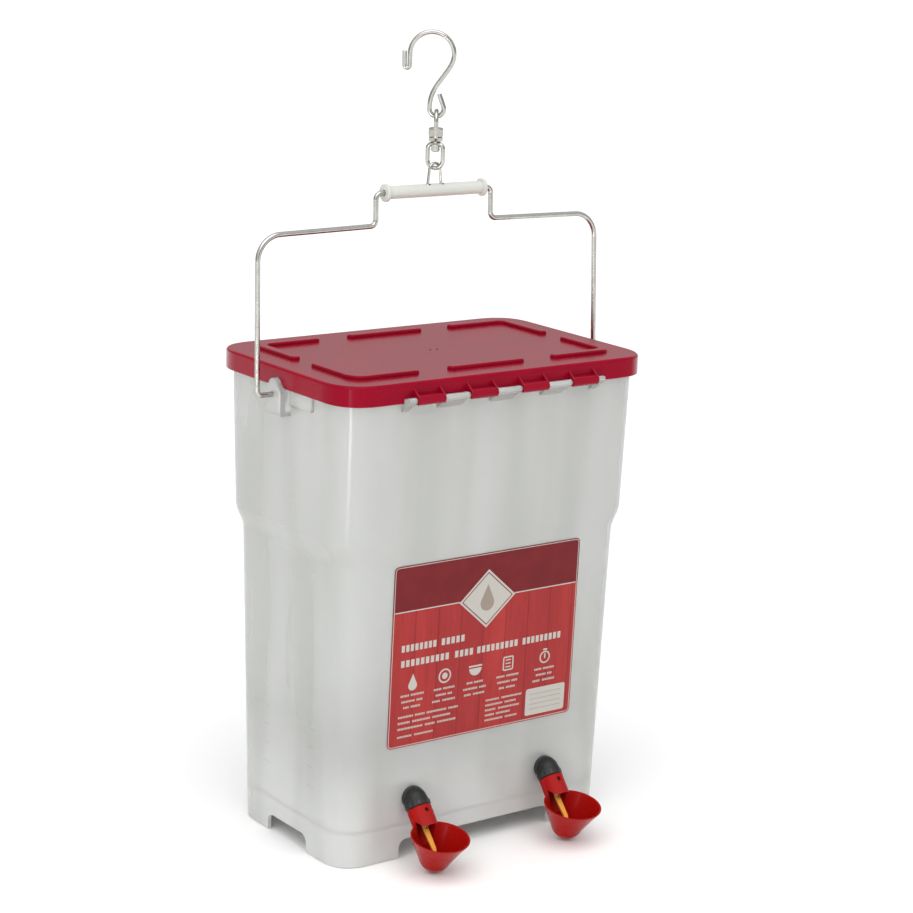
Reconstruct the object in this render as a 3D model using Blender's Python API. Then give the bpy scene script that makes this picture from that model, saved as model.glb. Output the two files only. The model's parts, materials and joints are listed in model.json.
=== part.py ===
"""Hanging poultry waterer fount: a lidded tank on four corner feet, with a wire bail, a grip, a swivel hook and
two auto-fill drinking cups. Metres, +Z up, long side along X, cups towards -Y, origin on the floor under the
middle of the whole object."""

import math

import bmesh
import bpy
from mathutils import Matrix, Vector

MM = 0.001

# Lid and tank, measured over the outside
HEIGHT = 388 * MM
LID_LENGTH = 290 * MM
LID_DEPTH = 191.6 * MM
SKIRT = 16 * MM
PLATE = 2 * MM
TANK_WALL = 2 * MM
CORNER = 34 * MM
CORNER_SQUARENESS = 2.6
CORNER_STEPS = 8
GAP = 0.3 * MM

# Tank outline: height, inset from the lid along X, inset along Y
TANK_LEVELS = (
    (0 * MM, 15.5 * MM, 19.1 * MM),
    (242 * MM, 12.5 * MM, 11.3 * MM),
    (246 * MM, 11.9 * MM, 11.0 * MM),
    (253 * MM, 9.5 * MM, 10.2 * MM),
    (260 * MM, 7.1 * MM, 9.4 * MM),
    (264 * MM, 6.5 * MM, 9.2 * MM),
)
RIM_TOP = HEIGHT - PLATE - GAP
RIM_INSET = 5 * MM
FLOOR_TOP = 29 * MM
FLOOR_THICK = 2.5 * MM
SKIRT_WALL = 3 * MM
FOOT_ARCH_X = 148 * MM
FOOT_ARCH_Y = 57 * MM
FOOT_ARCH_HIGH = 16 * MM
FOOT_ARCH_LOW = 14.6 * MM
FOOT_ARCH_ROUND = 7 * MM

# Lid ribs
RIB_WIDTH = 8 * MM
RIB_HEIGHT = 3 * MM
RIB_LINE_Y = 69.7 * MM
RIB_LINE_X = 119.7 * MM
RIB_MID_HALF = 31.8 * MM
RIB_CORNER_FROM_X = 67.3 * MM
RIB_CORNER_FROM_Y = 15.6 * MM
RIB_ROUND = 9 * MM

# Hinge between lid and tank, on the front edge
HINGE_OUT = 100.3 * MM
HINGE_DROP = 13.5 * MM
HINGE_ROD_R = 1.6 * MM
CLIP_OUTER_R = 3.7 * MM
CLIP_INNER_R = 1.9 * MM
CLIP_WIDTH = 25 * MM
CLIP_PITCH = 48.7 * MM
CLIP_COUNT = 4
HINGE_HALF = 93.5 * MM
HINGE_SKIRT = 12 * MM
GUSSET_TOP = 4.3 * MM
GUSSET_THICK = 1.6 * MM

# Bail and its bosses
WIRE_R = 2 * MM
BAIL_LEAN = math.radians(2.3)
BAIL_DROP = 21.4 * MM
BAIL_FOOT_X = 162.5 * MM
BAIL_SHOULDER_X = 160.9 * MM
BAIL_SHOULDER_OUT = 120.7 * MM
BAIL_SHOULDER_IN = 122.4 * MM
BAIL_RISER_X = 54.8 * MM
BAIL_GRIP = 147.4 * MM
BOSS_OUT = 149.5 * MM
BOSS_HALF = 11.5 * MM
BOSS_TOP = 8.8 * MM
BOSS_LOW = 37 * MM
BAIL_HOLE_END = 141 * MM
PAD_OUT = 141.6 * MM
PAD_HALF = 44 * MM
PAD_LOW = 29 * MM

# Grip and hanger
GRIP_HALF = 47.4 * MM
GRIP_R = 5.1 * MM
GRIP_FLANGE_R = 7 * MM
GRIP_FLANGE = 3 * MM
HANGER_R = 1.1 * MM
HANGER_HALF = 6.4 * MM
HANGER_APEX = 21 * MM
HANGER_ARCH_R = 5 * MM
HANGER_HOOK_R = 3.35 * MM

# Swivel and hook, heights above the grip's axis
YOKE_TURN = math.radians(-52)
HOOK_TURN = math.radians(-36)
EYE_TURN = math.radians(54)
YOKE_WIRE_R = 1.65 * MM
YOKE_HALF = 6.2 * MM
YOKE_LOW = 17.2 * MM
YOKE_SWING_AT = HANGER_APEX - HANGER_ARCH_R
YOKE_HIGH = 36.1 * MM
SHANK_R = 1.9 * MM
RIVET_R = 3.3 * MM
RIVET_LOW = 30 * MM
BARREL_LOW = 41.7 * MM
BARREL_HIGH = 48.5 * MM
SWIVEL_BARREL_R = 5.6 * MM
EYE_WIRE_R = 1.7 * MM
EYE_HALF = 7.9 * MM
EYE_LOW = 39.7 * MM
EYE_HIGH = 61.4 * MM
EYE_BASE_R = 5.35 * MM
HOOK_WIRE_R = 1.95 * MM
HOOK_EYE_R = 5.6 * MM
HOOK_EYE_LOW = 57.4 * MM
HOOK_BEND_R = 17 * MM
HOOK_BEND_X = -4.7 * MM
HOOK_BEND_Z = 105 * MM
HOOK_TIP_GAP = 2.1 * MM

# Drinkers: cup and valve, distances along the neck's axis from the elbow
DRINKER_X = 65 * MM
DRINKER_Z = 51.5 * MM
NECK_DOWN = math.radians(50)
ELBOW_OUT = 6.5 * MM
STEM_R = 6 * MM
SEAL_R = 9 * MM
SEAL_THICK = 1.5 * MM
FLANGE_R = 9.5 * MM
ELBOW_R = 9.2 * MM
BARREL_R = 9.7 * MM
BARREL_END = 7.7 * MM
SPIGOT_R = 7.7 * MM
SPIGOT_END = 17.5 * MM
STEM_BORE_R = 3.2 * MM
VALVE_BORE_R = 4.2 * MM
NUT_FLAT = 9.5 * MM
NUT_THICK = 5 * MM
SLEEVE_R = 10 * MM
SLEEVE_BORE_R = 8.2 * MM
SLEEVE_MOUTH = 25 * MM
SLEEVE_END = 37 * MM
DETENT_AT = 12.8 * MM
DETENT_R = 1.8 * MM
RIM_R = 23.6 * MM
RIM_TILT = math.radians(10.5)
RIM_OUT = 35 * MM
RIM_DOWN = 19.5 * MM
BOWL_OUT = 28.8 * MM
BOWL_DOWN = 36.5 * MM
BOWL_R = 13.4 * MM
CUP_WALL = 1.5 * MM
PIN_R = 1.3 * MM
PIN_HEAD_R = 3 * MM
PIN_HEAD_FROM = 11.2 * MM
TILT_AT = 12.4 * MM
SEAT_FROM = 13 * MM
SEAT_TO = 15.5 * MM
PIN_END = 25.5 * MM
TRIGGER_END = 45 * MM

# Label
LABEL_X = -0.8 * MM
LABEL_HALF = 89.4 * MM
LABEL_LOW = 94.5 * MM
LABEL_HIGH = 242.5 * MM
LABEL_THICK = 0.4 * MM
LABEL_ROUND = 4 * MM


def inset_at(height):
    """Inset of the tank's outside from the lid's outline, along X and Y, at a height."""
    levels = TANK_LEVELS + ((RIM_TOP, RIM_INSET, RIM_INSET),)
    for (z0, x0, y0), (z1, x1, y1) in zip(levels, levels[1:]):
        if height <= z1:
            t = (height - z0) / (z1 - z0)
            return x0 + t * (x1 - x0), y0 + t * (y1 - y0)
    return levels[-1][1:]


# The wall that carries the drinkers and the label leans outwards towards the top.
WALL_LEAN = math.atan2(TANK_LEVELS[0][2] - TANK_LEVELS[1][2], TANK_LEVELS[1][0])
WALL_OUT = Vector((0, -math.cos(WALL_LEAN), -math.sin(WALL_LEAN)))
NECK = Vector((0, -math.cos(NECK_DOWN), -math.sin(NECK_DOWN)))
NECK_FACE = Vector((0, -math.sin(NECK_DOWN), math.cos(NECK_DOWN)))
WALL_AT_DRINKER = LID_DEPTH / 2 - inset_at(DRINKER_Z)[1]
CUP_REACH = WALL_AT_DRINKER + ELBOW_OUT * math.cos(WALL_LEAN) + RIM_OUT + RIM_R * math.cos(RIM_TILT)

# The tank stands behind the origin by this much, so that the origin is under the middle of the whole object.
TANK_Y = (CUP_REACH - LID_DEPTH / 2) / 2


# ---------------------------------------------------------------- small tools


def clear_scene():
    for obj in list(bpy.data.objects):
        bpy.data.objects.remove(obj, do_unlink=True)


def material(name, color, roughness, metallic=0.0, alpha=1.0):
    mat = bpy.data.materials.new(name)
    mat.use_nodes = True
    shader = mat.node_tree.nodes["Principled BSDF"]
    shader.inputs["Base Color"].default_value = (*color, 1)
    shader.inputs["Roughness"].default_value = roughness
    shader.inputs["Metallic"].default_value = metallic
    shader.inputs["Alpha"].default_value = alpha
    return mat


def new_object(name, bm, mat=None):
    """A mesh object from a bmesh, with its faces turned outwards."""
    bmesh.ops.recalc_face_normals(bm, faces=bm.faces)
    mesh = bpy.data.meshes.new(name)
    bm.to_mesh(mesh)
    bm.free()
    obj = bpy.data.objects.new(name, mesh)
    bpy.context.collection.objects.link(obj)
    if mat:
        mesh.materials.append(mat)
    return obj


def loft(rings, name="tool", closed=False):
    """A skin over rings of equal length: capped at both ends, or closed round into a ring."""
    bm = bmesh.new()
    loops = [[bm.verts.new(p) for p in ring] for ring in rings]
    pairs = list(zip(loops, loops[1:]))
    if closed:
        pairs.append((loops[-1], loops[0]))
    else:
        bm.faces.new(loops[0])
        bm.faces.new(loops[-1])
    for a, b in pairs:
        for k in range(len(a)):
            n = (k + 1) % len(a)
            bm.faces.new((a[k], a[n], b[n], b[k]))
    return new_object(name, bm)


def combine(obj, tool, operation):
    """Applies an exact boolean and removes the tool."""
    mod = obj.modifiers.new("Boolean", "BOOLEAN")
    mod.operation = operation
    mod.solver = "EXACT"
    mod.object = tool
    result = obj.evaluated_get(bpy.context.evaluated_depsgraph_get())
    mesh = bpy.data.meshes.new_from_object(result)
    obj.modifiers.clear()
    old = obj.data
    obj.data = mesh
    bpy.data.meshes.remove(old)
    bpy.data.objects.remove(tool, do_unlink=True)


def add(obj, tool):
    combine(obj, tool, "UNION")


def cut(obj, tool):
    combine(obj, tool, "DIFFERENCE")


def frame_of(axis):
    """Two unit vectors at right angles to an axis and to each other."""
    axis = Vector(axis).normalized()
    side = Vector((1, 0, 0)) if abs(axis.x) < 0.9 else Vector((0, 1, 0))
    u = (side - axis * side.dot(axis)).normalized()
    return u, axis.cross(u)


def circle(centre, axis, radius, steps, start=0.0):
    u, v = frame_of(axis)
    ring = []
    for k in range(steps):
        a = start + 2 * math.pi * k / steps
        ring.append(Vector(centre) + u * radius * math.cos(a) + v * radius * math.sin(a))
    return ring


def turned(origin, axis, profile, steps=24, name="tool", start=0.0):
    """A solid of revolution: profile holds (distance along the axis, radius) from one end to the other."""
    axis = Vector(axis).normalized()
    rings = [circle(Vector(origin) + axis * s, axis, r, steps, start) for s, r in profile]
    return loft(rings, name)


def rod(origin, axis, start, end, radius, steps=24, name="tool"):
    return turned(origin, axis, ((start, radius), (end, radius)), steps, name)


def box(low, high, name="tool"):
    ring = [(low[0], low[1]), (high[0], low[1]), (high[0], high[1]), (low[0], high[1])]
    return loft([[Vector((x, y, z)) for x, y in ring] for z in (low[2], high[2])], name)


def prism(outline, place, depth, name="tool"):
    """Extrudes a flat outline: place maps (a, b, depth) to a point in space."""
    return loft([[place(a, b, d) for a, b in outline] for d in depth], name)


def rounded_corner_ring(half_x, half_y, corner, z):
    """A rectangle in plan whose corners are quarter superellipses."""
    power = 2 / CORNER_SQUARENESS
    ring = []
    for quarter in range(4):
        turn = quarter * math.pi / 2
        cx = (half_x - corner) * (1 if quarter in (0, 3) else -1)
        cy = (half_y - corner) * (1 if quarter in (0, 1) else -1)
        for k in range(CORNER_STEPS + 1):
            a = turn + math.pi / 2 * k / CORNER_STEPS
            c, s = math.cos(a), math.sin(a)
            dx = math.copysign(abs(c) ** power, c) if abs(c) > 1e-9 else 0
            dy = math.copysign(abs(s) ** power, s) if abs(s) > 1e-9 else 0
            ring.append(Vector((cx + corner * dx, cy + corner * dy + TANK_Y, z)))
    return ring


def arc(centre, radius, start, end, steps):
    """Points on an arc in a plane, angles in degrees."""
    points = []
    for k in range(steps + 1):
        a = math.radians(start + (end - start) * k / steps)
        points.append((centre[0] + radius * math.cos(a), centre[1] + radius * math.sin(a)))
    return points


def filleted(points, radii, step=math.radians(15)):
    """A path through straight runs with an arc of the given radius at each inner point."""
    points = [Vector(p) for p in points]
    path = [points[0]]
    for before, corner, after, radius in zip(points, points[1:], points[2:], radii):
        into = (corner - before).normalized()
        out = (after - corner).normalized()
        turn = into.angle(out)
        if turn < 1e-4 or radius <= 0:
            path.append(corner)
            continue
        reach = radius * math.tan(turn / 2)
        centre = corner + (out - into).normalized() * (radius / math.cos(turn / 2))
        spoke = corner - into * reach - centre
        axis = into.cross(out).normalized()
        count = max(2, math.ceil(turn / step))
        for k in range(count + 1):
            path.append(centre + Matrix.Rotation(turn * k / count, 3, axis) @ spoke)
    path.append(points[-1])
    return path


def tube(path, radius, sides, name="tool", closed=False):
    """A round wire along a path, its rings carried along without twist."""
    path = [Vector(p) for p in path]
    count = len(path)
    tangents = []
    for k in range(count):
        before = path[k - 1] if closed or k else path[0]
        after = path[(k + 1) % count] if closed or k < count - 1 else path[-1]
        tangents.append((after - before).normalized())
    normal = frame_of(tangents[0])[0]
    rings = []
    for point, tangent in zip(path, tangents):
        normal = (normal - tangent * normal.dot(tangent)).normalized()
        other = tangent.cross(normal)
        ring = []
        for k in range(sides):
            a = 2 * math.pi * k / sides
            ring.append(point + normal * radius * math.cos(a) + other * radius * math.sin(a))
        rings.append(ring)
    return loft(rings, name, closed)


def finish(obj, name, mat, origin=None, parent=None, angle=35):
    """Names a piece, smooths its round faces, and puts its origin on its joint's axis."""
    obj.name = name
    obj.data.name = name
    obj.data.materials.clear()
    obj.data.materials.append(mat)
    obj.data.shade_smooth()
    obj.data.set_sharp_from_angle(angle=math.radians(angle))
    if origin is not None:
        obj.data.transform(Matrix.Translation(-Vector(origin)))
        obj.location = origin
    if parent is not None:
        obj.parent = parent
        obj.matrix_parent_inverse = Matrix.Translation(-world_place(parent))
    return obj


def world_place(obj):
    place = Vector(obj.location)
    while obj.parent:
        obj = obj.parent
        place += obj.location
    return place


def pivot(name, origin, parent=None):
    """An empty on a joint's axis."""
    empty = bpy.data.objects.new(name, None)
    bpy.context.collection.objects.link(empty)
    empty.empty_display_size = 0.01
    empty.location = Vector(origin) - (world_place(parent) if parent else Vector())
    empty.parent = parent
    return empty


# ---------------------------------------------------------------- tank


def tank_ring(height, inset=0.0):
    dx, dy = inset_at(height)
    return rounded_corner_ring(
        LID_LENGTH / 2 - dx - inset, LID_DEPTH / 2 - dy - inset, CORNER - RIM_INSET - inset, height
    )


def tank_levels(low, high):
    inner = [z for z, _, _ in TANK_LEVELS if low < z < high]
    return [low] + inner + [high]


def foot_arch(half, top):
    """Outline of the gap between two feet: open below, rounded where it meets the bottom edge."""
    low = -5 * MM
    r = FOOT_ARCH_ROUND
    right = arc((half - r, top - r), r, 0, 90, 4)
    left = [(-x, z) for x, z in reversed(right)]
    return [(half, low)] + right + left + [(-half, low)]


def boss_outline(extra=0.0):
    """End view of a bail boss, as (y, distance below the lid's top)."""
    top_r = 6 * MM + extra
    shoulder = [(BOSS_HALF + extra, BOSS_LOW), (BOSS_HALF + extra, 17.5 * MM)]
    crown = [(x, -z) for x, z in arc((0, -(BOSS_TOP + 6 * MM)), top_r, 20, 160, 8)]
    return shoulder + crown + [(-y, d) for y, d in reversed(shoulder)]


def bail_boss(side):
    tool = prism(
        boss_outline(),
        lambda a, b, d: Vector((side * d, a + TANK_Y, HEIGHT - b)),
        (LID_LENGTH / 2 - 6.5 * MM, BOSS_OUT),
    )
    return tool


def hinge_rod_centre():
    return Vector((0, TANK_Y - HINGE_OUT, HEIGHT - HINGE_DROP))


def clip_centres():
    return [(k - (CLIP_COUNT - 1) / 2) * CLIP_PITCH for k in range(CLIP_COUNT)]


def knuckle_spans():
    """X spans of the tank's hinge knuckles: one between each two clips and one at each end."""
    reach = CLIP_WIDTH / 2 + 2 * GAP
    centres = clip_centres()
    spans = [(-HINGE_HALF + 1 * MM, centres[0] - reach)]
    for a, b in zip(centres, centres[1:]):
        spans.append((a + reach, b - reach))
    spans.append((centres[-1] + reach, HINGE_HALF - 1 * MM))
    return spans


def knuckle(span):
    """A rounded lug that reaches out under the lid's edge to carry the hinge rod."""
    wall = LID_DEPTH / 2 - RIM_INSET - 1 * MM
    shelf = -HINGE_SKIRT - GAP
    nose = arc((-HINGE_OUT, -HINGE_DROP), 2.5 * MM, 45, 225, 8)
    outline = [(-wall, shelf), (-LID_DEPTH / 2 - 1 * MM, shelf)] + nose + [(-wall, -HINGE_DROP - 11 * MM)]
    return prism(
        outline, lambda a, b, d: Vector((d, a + TANK_Y, b + HEIGHT)), (span[0], span[1])
    )


def build_tank(mat):
    outside = [tank_ring(z) for z in tank_levels(0, RIM_TOP)]
    tank = loft(outside)
    inside = [tank_ring(z, TANK_WALL) for z in tank_levels(FLOOR_TOP, RIM_TOP)]
    top = [p + Vector((0, 0, 5 * MM)) for p in inside[-1]]
    cut(tank, loft(inside + [top]))
    below = FLOOR_TOP - FLOOR_THICK
    hollow = [[Vector((p.x, p.y, z)) for p in tank_ring(0, SKIRT_WALL)] for z in (-5 * MM, below)]
    cut(tank, loft(hollow))
    deep = LID_DEPTH / 2
    front_arch = foot_arch(FOOT_ARCH_X / 2, FOOT_ARCH_HIGH)
    cut(tank, prism(front_arch, lambda a, b, d: Vector((a, d + TANK_Y, b)), (-deep, deep)))
    wide = LID_LENGTH / 2
    end_arch = foot_arch(FOOT_ARCH_Y / 2, FOOT_ARCH_LOW)
    cut(tank, prism(end_arch, lambda a, b, d: Vector((d, a + TANK_Y, b)), (-wide, wide)))
    for side in (-1, 1):
        inner, outer = sorted((side * (PAD_OUT - 4 * MM), side * PAD_OUT))
        low = (inner, TANK_Y - PAD_HALF, HEIGHT - PAD_LOW)
        add(tank, box(low, (outer, TANK_Y + PAD_HALF, RIM_TOP - 1 * MM)))
        add(tank, bail_boss(side))
        centre = (0, TANK_Y, HEIGHT - BAIL_DROP)
        reach = sorted((side * BAIL_HOLE_END, side * (BOSS_OUT + 2 * MM)))
        cut(tank, rod(centre, (1, 0, 0), reach[0], reach[1], WIRE_R + GAP, 16))
    for span in knuckle_spans():
        add(tank, knuckle(span))
    spans = knuckle_spans()
    ends = (spans[0][0] + 1 * MM, spans[-1][1] - 1 * MM)
    add(tank, rod(hinge_rod_centre(), (1, 0, 0), ends[0], ends[1], HINGE_ROD_R, 16))
    for x in (-DRINKER_X, DRINKER_X):
        cut(tank, rod(wall_point(x), WALL_OUT, -6 * MM, 4 * MM, STEM_R + GAP, 24))
    return finish(tank, "tank", mat)


# ---------------------------------------------------------------- lid


def stadium(path, width):
    """Outline of a bar of constant width with round ends, along a flat path."""
    path = [Vector((x, y)) for x, y in path]
    half = width / 2
    left, right = [], []
    for k, point in enumerate(path):
        before = path[max(k - 1, 0)]
        after = path[min(k + 1, len(path) - 1)]
        run = (after - before).normalized()
        side = Vector((-run.y, run.x)) * half
        left.append(point + side)
        right.append(point - side)

    def cap(end, inner):
        run = (end - inner).normalized()
        start = math.degrees(math.atan2(run.x, -run.y))
        return arc(end, half, start, start - 180, 6)[1:-1]

    outline = [tuple(p) for p in left]
    outline += cap(path[-1], path[-2])
    outline += [tuple(p) for p in reversed(right)]
    return outline + cap(path[0], path[1])


def rib(path):
    low = HEIGHT - 0.5 * MM
    outline = stadium(path, RIB_WIDTH)
    return prism(
        outline, lambda a, b, d: Vector((a, b + TANK_Y, d)), (low, HEIGHT + RIB_HEIGHT)
    )


def rib_paths():
    paths = []
    for sy in (-1, 1):
        paths.append([(-RIB_MID_HALF, sy * RIB_LINE_Y), (RIB_MID_HALF, sy * RIB_LINE_Y)])
        for sx in (-1, 1):
            corner = filleted(
                (
                    (sx * RIB_CORNER_FROM_X, sy * RIB_LINE_Y, 0),
                    (sx * RIB_LINE_X, sy * RIB_LINE_Y, 0),
                    (sx * RIB_LINE_X, sy * RIB_CORNER_FROM_Y, 0),
                ),
                (RIB_ROUND,),
            )
            paths.append([(p.x, p.y) for p in corner])
    return paths


def clip(x):
    """One hinge clip: a lip out of the skirt that curls over the hinge rod, with a gusset at each side."""
    axis = hinge_rod_centre()
    start, end = x - CLIP_WIDTH / 2, x + CLIP_WIDTH / 2
    body = rod(axis, (1, 0, 0), start, end, CLIP_OUTER_R, 24)
    top = axis.z + CLIP_OUTER_R
    skirt = TANK_Y - LID_DEPTH / 2
    add(body, box((start, axis.y, top - 2 * MM), (end, skirt + 1 * MM, top)))
    nose = axis.y - CLIP_OUTER_R * 0.8
    for low, high in ((start, start + GUSSET_THICK), (end - GUSSET_THICK, end)):
        outline = ((skirt + 1 * MM, HEIGHT - GUSSET_TOP), (nose, top - 1 * MM), (skirt + 1 * MM, top - 2 * MM))
        add(body, prism(outline, lambda a, b, d: Vector((d, a, b)), (low, high)))
    return body


def clip_bore(x):
    """The channel for the rod, open below through a mouth a little narrower than the rod."""
    axis = hinge_rod_centre()
    start, end = x - CLIP_WIDTH / 2 - 1 * MM, x + CLIP_WIDTH / 2 + 1 * MM
    bore = rod(axis, (1, 0, 0), start, end, CLIP_INNER_R, 20)
    mouth = HINGE_ROD_R - 0.15 * MM
    low = axis.z - CLIP_OUTER_R - 2 * MM
    add(bore, box((start, axis.y - mouth, low), (end, axis.y + mouth, axis.z)))
    return bore


def build_lid(mat, axis_empty):
    edge = 2.5 * MM
    outside = []
    half_x, half_y = LID_LENGTH / 2, LID_DEPTH / 2
    outside.append(rounded_corner_ring(half_x, half_y, CORNER, HEIGHT - SKIRT))
    for k in range(4):
        a = math.pi / 2 * k / 3
        inset = edge * (1 - math.cos(a))
        z = HEIGHT - edge + edge * math.sin(a)
        outside.append(rounded_corner_ring(half_x - inset, half_y - inset, CORNER - inset, z))
    lid = loft(outside)
    under = (HEIGHT - SKIRT - 5 * MM, HEIGHT - PLATE)
    wall = 2 * MM
    inside = [rounded_corner_ring(half_x - wall, half_y - wall, CORNER - wall, z) for z in under]
    cut(lid, loft(inside))
    for path in rib_paths():
        add(lid, rib(path))
    for side in (-1, 1):
        notch = prism(
            boss_outline(0.6 * MM),
            lambda a, b, d: Vector((side * d, a + TANK_Y, HEIGHT - b)),
            (half_x - 6 * MM, half_x + 6 * MM),
        )
        cut(lid, notch)
    front = TANK_Y - half_y
    low, high = HEIGHT - SKIRT - 2 * MM, HEIGHT - HINGE_SKIRT
    cut(lid, box((-HINGE_HALF, front - 2 * MM, low), (HINGE_HALF, front + 4 * MM, high)))
    for x in clip_centres():
        add(lid, clip(x))
    for x in clip_centres():
        cut(lid, clip_bore(x))
    return finish(lid, "lid", mat, hinge_rod_centre(), axis_empty)


# ---------------------------------------------------------------- bail, grip and hanger


def bail_point(x, along):
    """A point of the bail: along is the distance up the leg from the bosses' axis."""
    return Vector(
        (x, TANK_Y + along * math.sin(BAIL_LEAN), HEIGHT - BAIL_DROP + along * math.cos(BAIL_LEAN))
    )


def build_bail(mat, axis_empty):
    right = (
        bail_point(BAIL_HOLE_END + 1 * MM, 0),
        bail_point(BAIL_FOOT_X, 0),
        bail_point(BAIL_SHOULDER_X, BAIL_SHOULDER_OUT),
        bail_point(BAIL_RISER_X, BAIL_SHOULDER_IN),
        bail_point(BAIL_RISER_X, BAIL_GRIP),
    )
    left = tuple(Vector((-p.x, p.y, p.z)) for p in reversed(right))
    bends = (4.5 * MM, 20 * MM, 5 * MM, 5 * MM)
    path = filleted(right + left, bends + tuple(reversed(bends)))
    wire = tube(path, WIRE_R, 12)
    return finish(wire, "bail", mat, bail_point(0, 0), axis_empty)


def build_grip(mat, axis_empty):
    centre = bail_point(0, BAIL_GRIP)
    end, flange = GRIP_HALF, GRIP_HALF - GRIP_FLANGE
    profile = (
        (-end, GRIP_FLANGE_R),
        (-flange, GRIP_FLANGE_R),
        (-flange, GRIP_R),
        (flange, GRIP_R),
        (flange, GRIP_FLANGE_R),
        (end, GRIP_FLANGE_R),
    )
    grip = turned(centre, (1, 0, 0), profile, 32)
    cut(grip, rod(centre, (1, 0, 0), -end - 1 * MM, end + 1 * MM, WIRE_R + 0.4 * MM, 20))
    pocket = HANGER_HALF + 2.2 * MM
    cut(grip, rod(centre, (1, 0, 0), -pocket, pocket, HANGER_HOOK_R + HANGER_R + 0.15 * MM, 32))
    for x in (-HANGER_HALF, HANGER_HALF):
        hole = centre + Vector((x, -0.5 * MM, 0))
        cut(grip, rod(hole, (0, 0, 1), 0, GRIP_R + 2 * MM, HANGER_R + 1.2 * MM, 20))
    return finish(grip, "grip", mat, centre, axis_empty)


def build_hanger(mat, axis_empty):
    """A wire vee: each leg comes down into the grip and curls round the bail wire."""
    centre = bail_point(0, BAIL_GRIP)
    curl = [Vector((HANGER_HALF, y, z)) for y, z in arc((0, 0), HANGER_HOOK_R, 20, -230, 14)]
    rise = curl[-1]
    leg = filleted(
        (
            rise,
            rise + Vector((0, -rise.y, -rise.y * math.tan(math.radians(40)))),
            (HANGER_ARCH_R, 0, HANGER_APEX - HANGER_ARCH_R),
        ),
        (2 * MM,),
    )
    arch_centre = (0, HANGER_APEX - HANGER_ARCH_R)
    arch = [Vector((x, 0, z)) for x, z in arc(arch_centre, HANGER_ARCH_R, 0, 90, 5)]
    right = curl + leg[1:] + arch[1:]
    left = [Vector((-p.x, p.y, p.z)) for p in reversed(right[:-1])]
    path = [centre + p for p in right + left]
    return finish(tube(path, HANGER_R, 8), "hanger", mat, centre, axis_empty)


# ---------------------------------------------------------------- swivel and hook


def chain_point(turn, across, up):
    """A point in an upright plane through the chain's centre line, turned about it."""
    centre = bail_point(0, BAIL_GRIP)
    return centre + Vector((across * math.cos(turn), across * math.sin(turn), up))


def build_yoke(mat, axis_empty):
    """A wire ring with a headed shank that stands up through the swivel eye's base."""
    shoulder = 4 * MM
    outline = arc((0, YOKE_LOW + YOKE_HALF), YOKE_HALF, 180, 360, 12)
    outline += arc((YOKE_HALF - shoulder, YOKE_HIGH - shoulder), shoulder, 0, 90, 4)
    outline += arc((shoulder - YOKE_HALF, YOKE_HIGH - shoulder), shoulder, 90, 180, 4)
    path = [chain_point(YOKE_TURN, u, z) for u, z in outline]
    yoke = tube(path, YOKE_WIRE_R, 10, closed=True)
    centre = bail_point(0, BAIL_GRIP)
    bevel = 1 * MM
    shank = (
        (RIVET_LOW, RIVET_R - bevel),
        (RIVET_LOW + bevel, RIVET_R),
        (YOKE_HIGH, RIVET_R),
        (YOKE_HIGH, SHANK_R),
        (BARREL_LOW, SHANK_R),
        (BARREL_LOW, SWIVEL_BARREL_R),
        (BARREL_HIGH - bevel, SWIVEL_BARREL_R),
        (BARREL_HIGH, SWIVEL_BARREL_R - bevel),
    )
    add(yoke, turned(centre, (0, 0, 1), shank, 24))
    return finish(yoke, "swivel_yoke", mat, chain_point(0, 0, YOKE_SWING_AT), axis_empty)


def build_eye(mat, axis_empty):
    """The turning half of the swivel: a bored base and a long eye round the shank's head."""
    centre = bail_point(0, BAIL_GRIP)
    corner = 3.5 * MM
    outline = arc((corner - EYE_HALF, EYE_LOW + corner), corner, 180, 270, 4)
    outline += arc((EYE_HALF - corner, EYE_LOW + corner), corner, 270, 360, 4)
    outline += arc((0, EYE_HIGH - EYE_HALF), EYE_HALF, 0, 180, 12)
    path = [chain_point(EYE_TURN, u, z) for u, z in outline]
    eye = tube(path, EYE_WIRE_R, 10, closed=True)
    half = EYE_WIRE_R - 0.05 * MM
    base = (
        (EYE_LOW - half, EYE_BASE_R - 0.6 * MM),
        (EYE_LOW - half + 0.6 * MM, EYE_BASE_R),
        (EYE_LOW + half, EYE_BASE_R),
    )
    add(eye, turned(centre, (0, 0, 1), base, 20))
    cut(eye, rod(centre, (0, 0, 1), EYE_LOW - 3 * MM, EYE_LOW + 3 * MM, SHANK_R + GAP, 20))
    return finish(eye, "swivel_eye", mat, centre, axis_empty)


def bezier(a, b, c, d, steps):
    points = []
    for k in range(1, steps):
        t = k / steps
        points.append(
            tuple(
                (1 - t) ** 3 * a[i] + 3 * t * (1 - t) ** 2 * b[i] + 3 * t * t * (1 - t) * c[i] + t**3 * d[i]
                for i in range(2)
            )
        )
    return points


def hook_path():
    """The hook in its own plane, from the folded tip over the bend and down the sweep into the lower eye."""
    left = HOOK_BEND_X - HOOK_BEND_R
    fold = HOOK_BEND_Z - 8.8 * MM
    path = [(left - 2 * HOOK_TIP_GAP, fold + 10.8 * MM)]
    path += arc((left - HOOK_TIP_GAP, fold), HOOK_TIP_GAP, -180, 0, 8)
    bend_end = -30
    bend = arc((HOOK_BEND_X, HOOK_BEND_Z), HOOK_BEND_R, 180, bend_end, 22)
    eye_centre = (0, HOOK_EYE_LOW + HOOK_EYE_R)
    eye = arc(eye_centre, HOOK_EYE_R, 175, 380, 18) + [(1.77 * MM, 74.5 * MM)]
    down = math.radians(bend_end - 90)
    pull = 15 * MM
    leave = (bend[-1][0] + pull * math.cos(down), bend[-1][1] + pull * math.sin(down))
    meet = (eye[0][0], eye[0][1] + pull)
    path += bend + bezier(bend[-1], leave, meet, eye[0], 10) + eye
    return path


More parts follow.
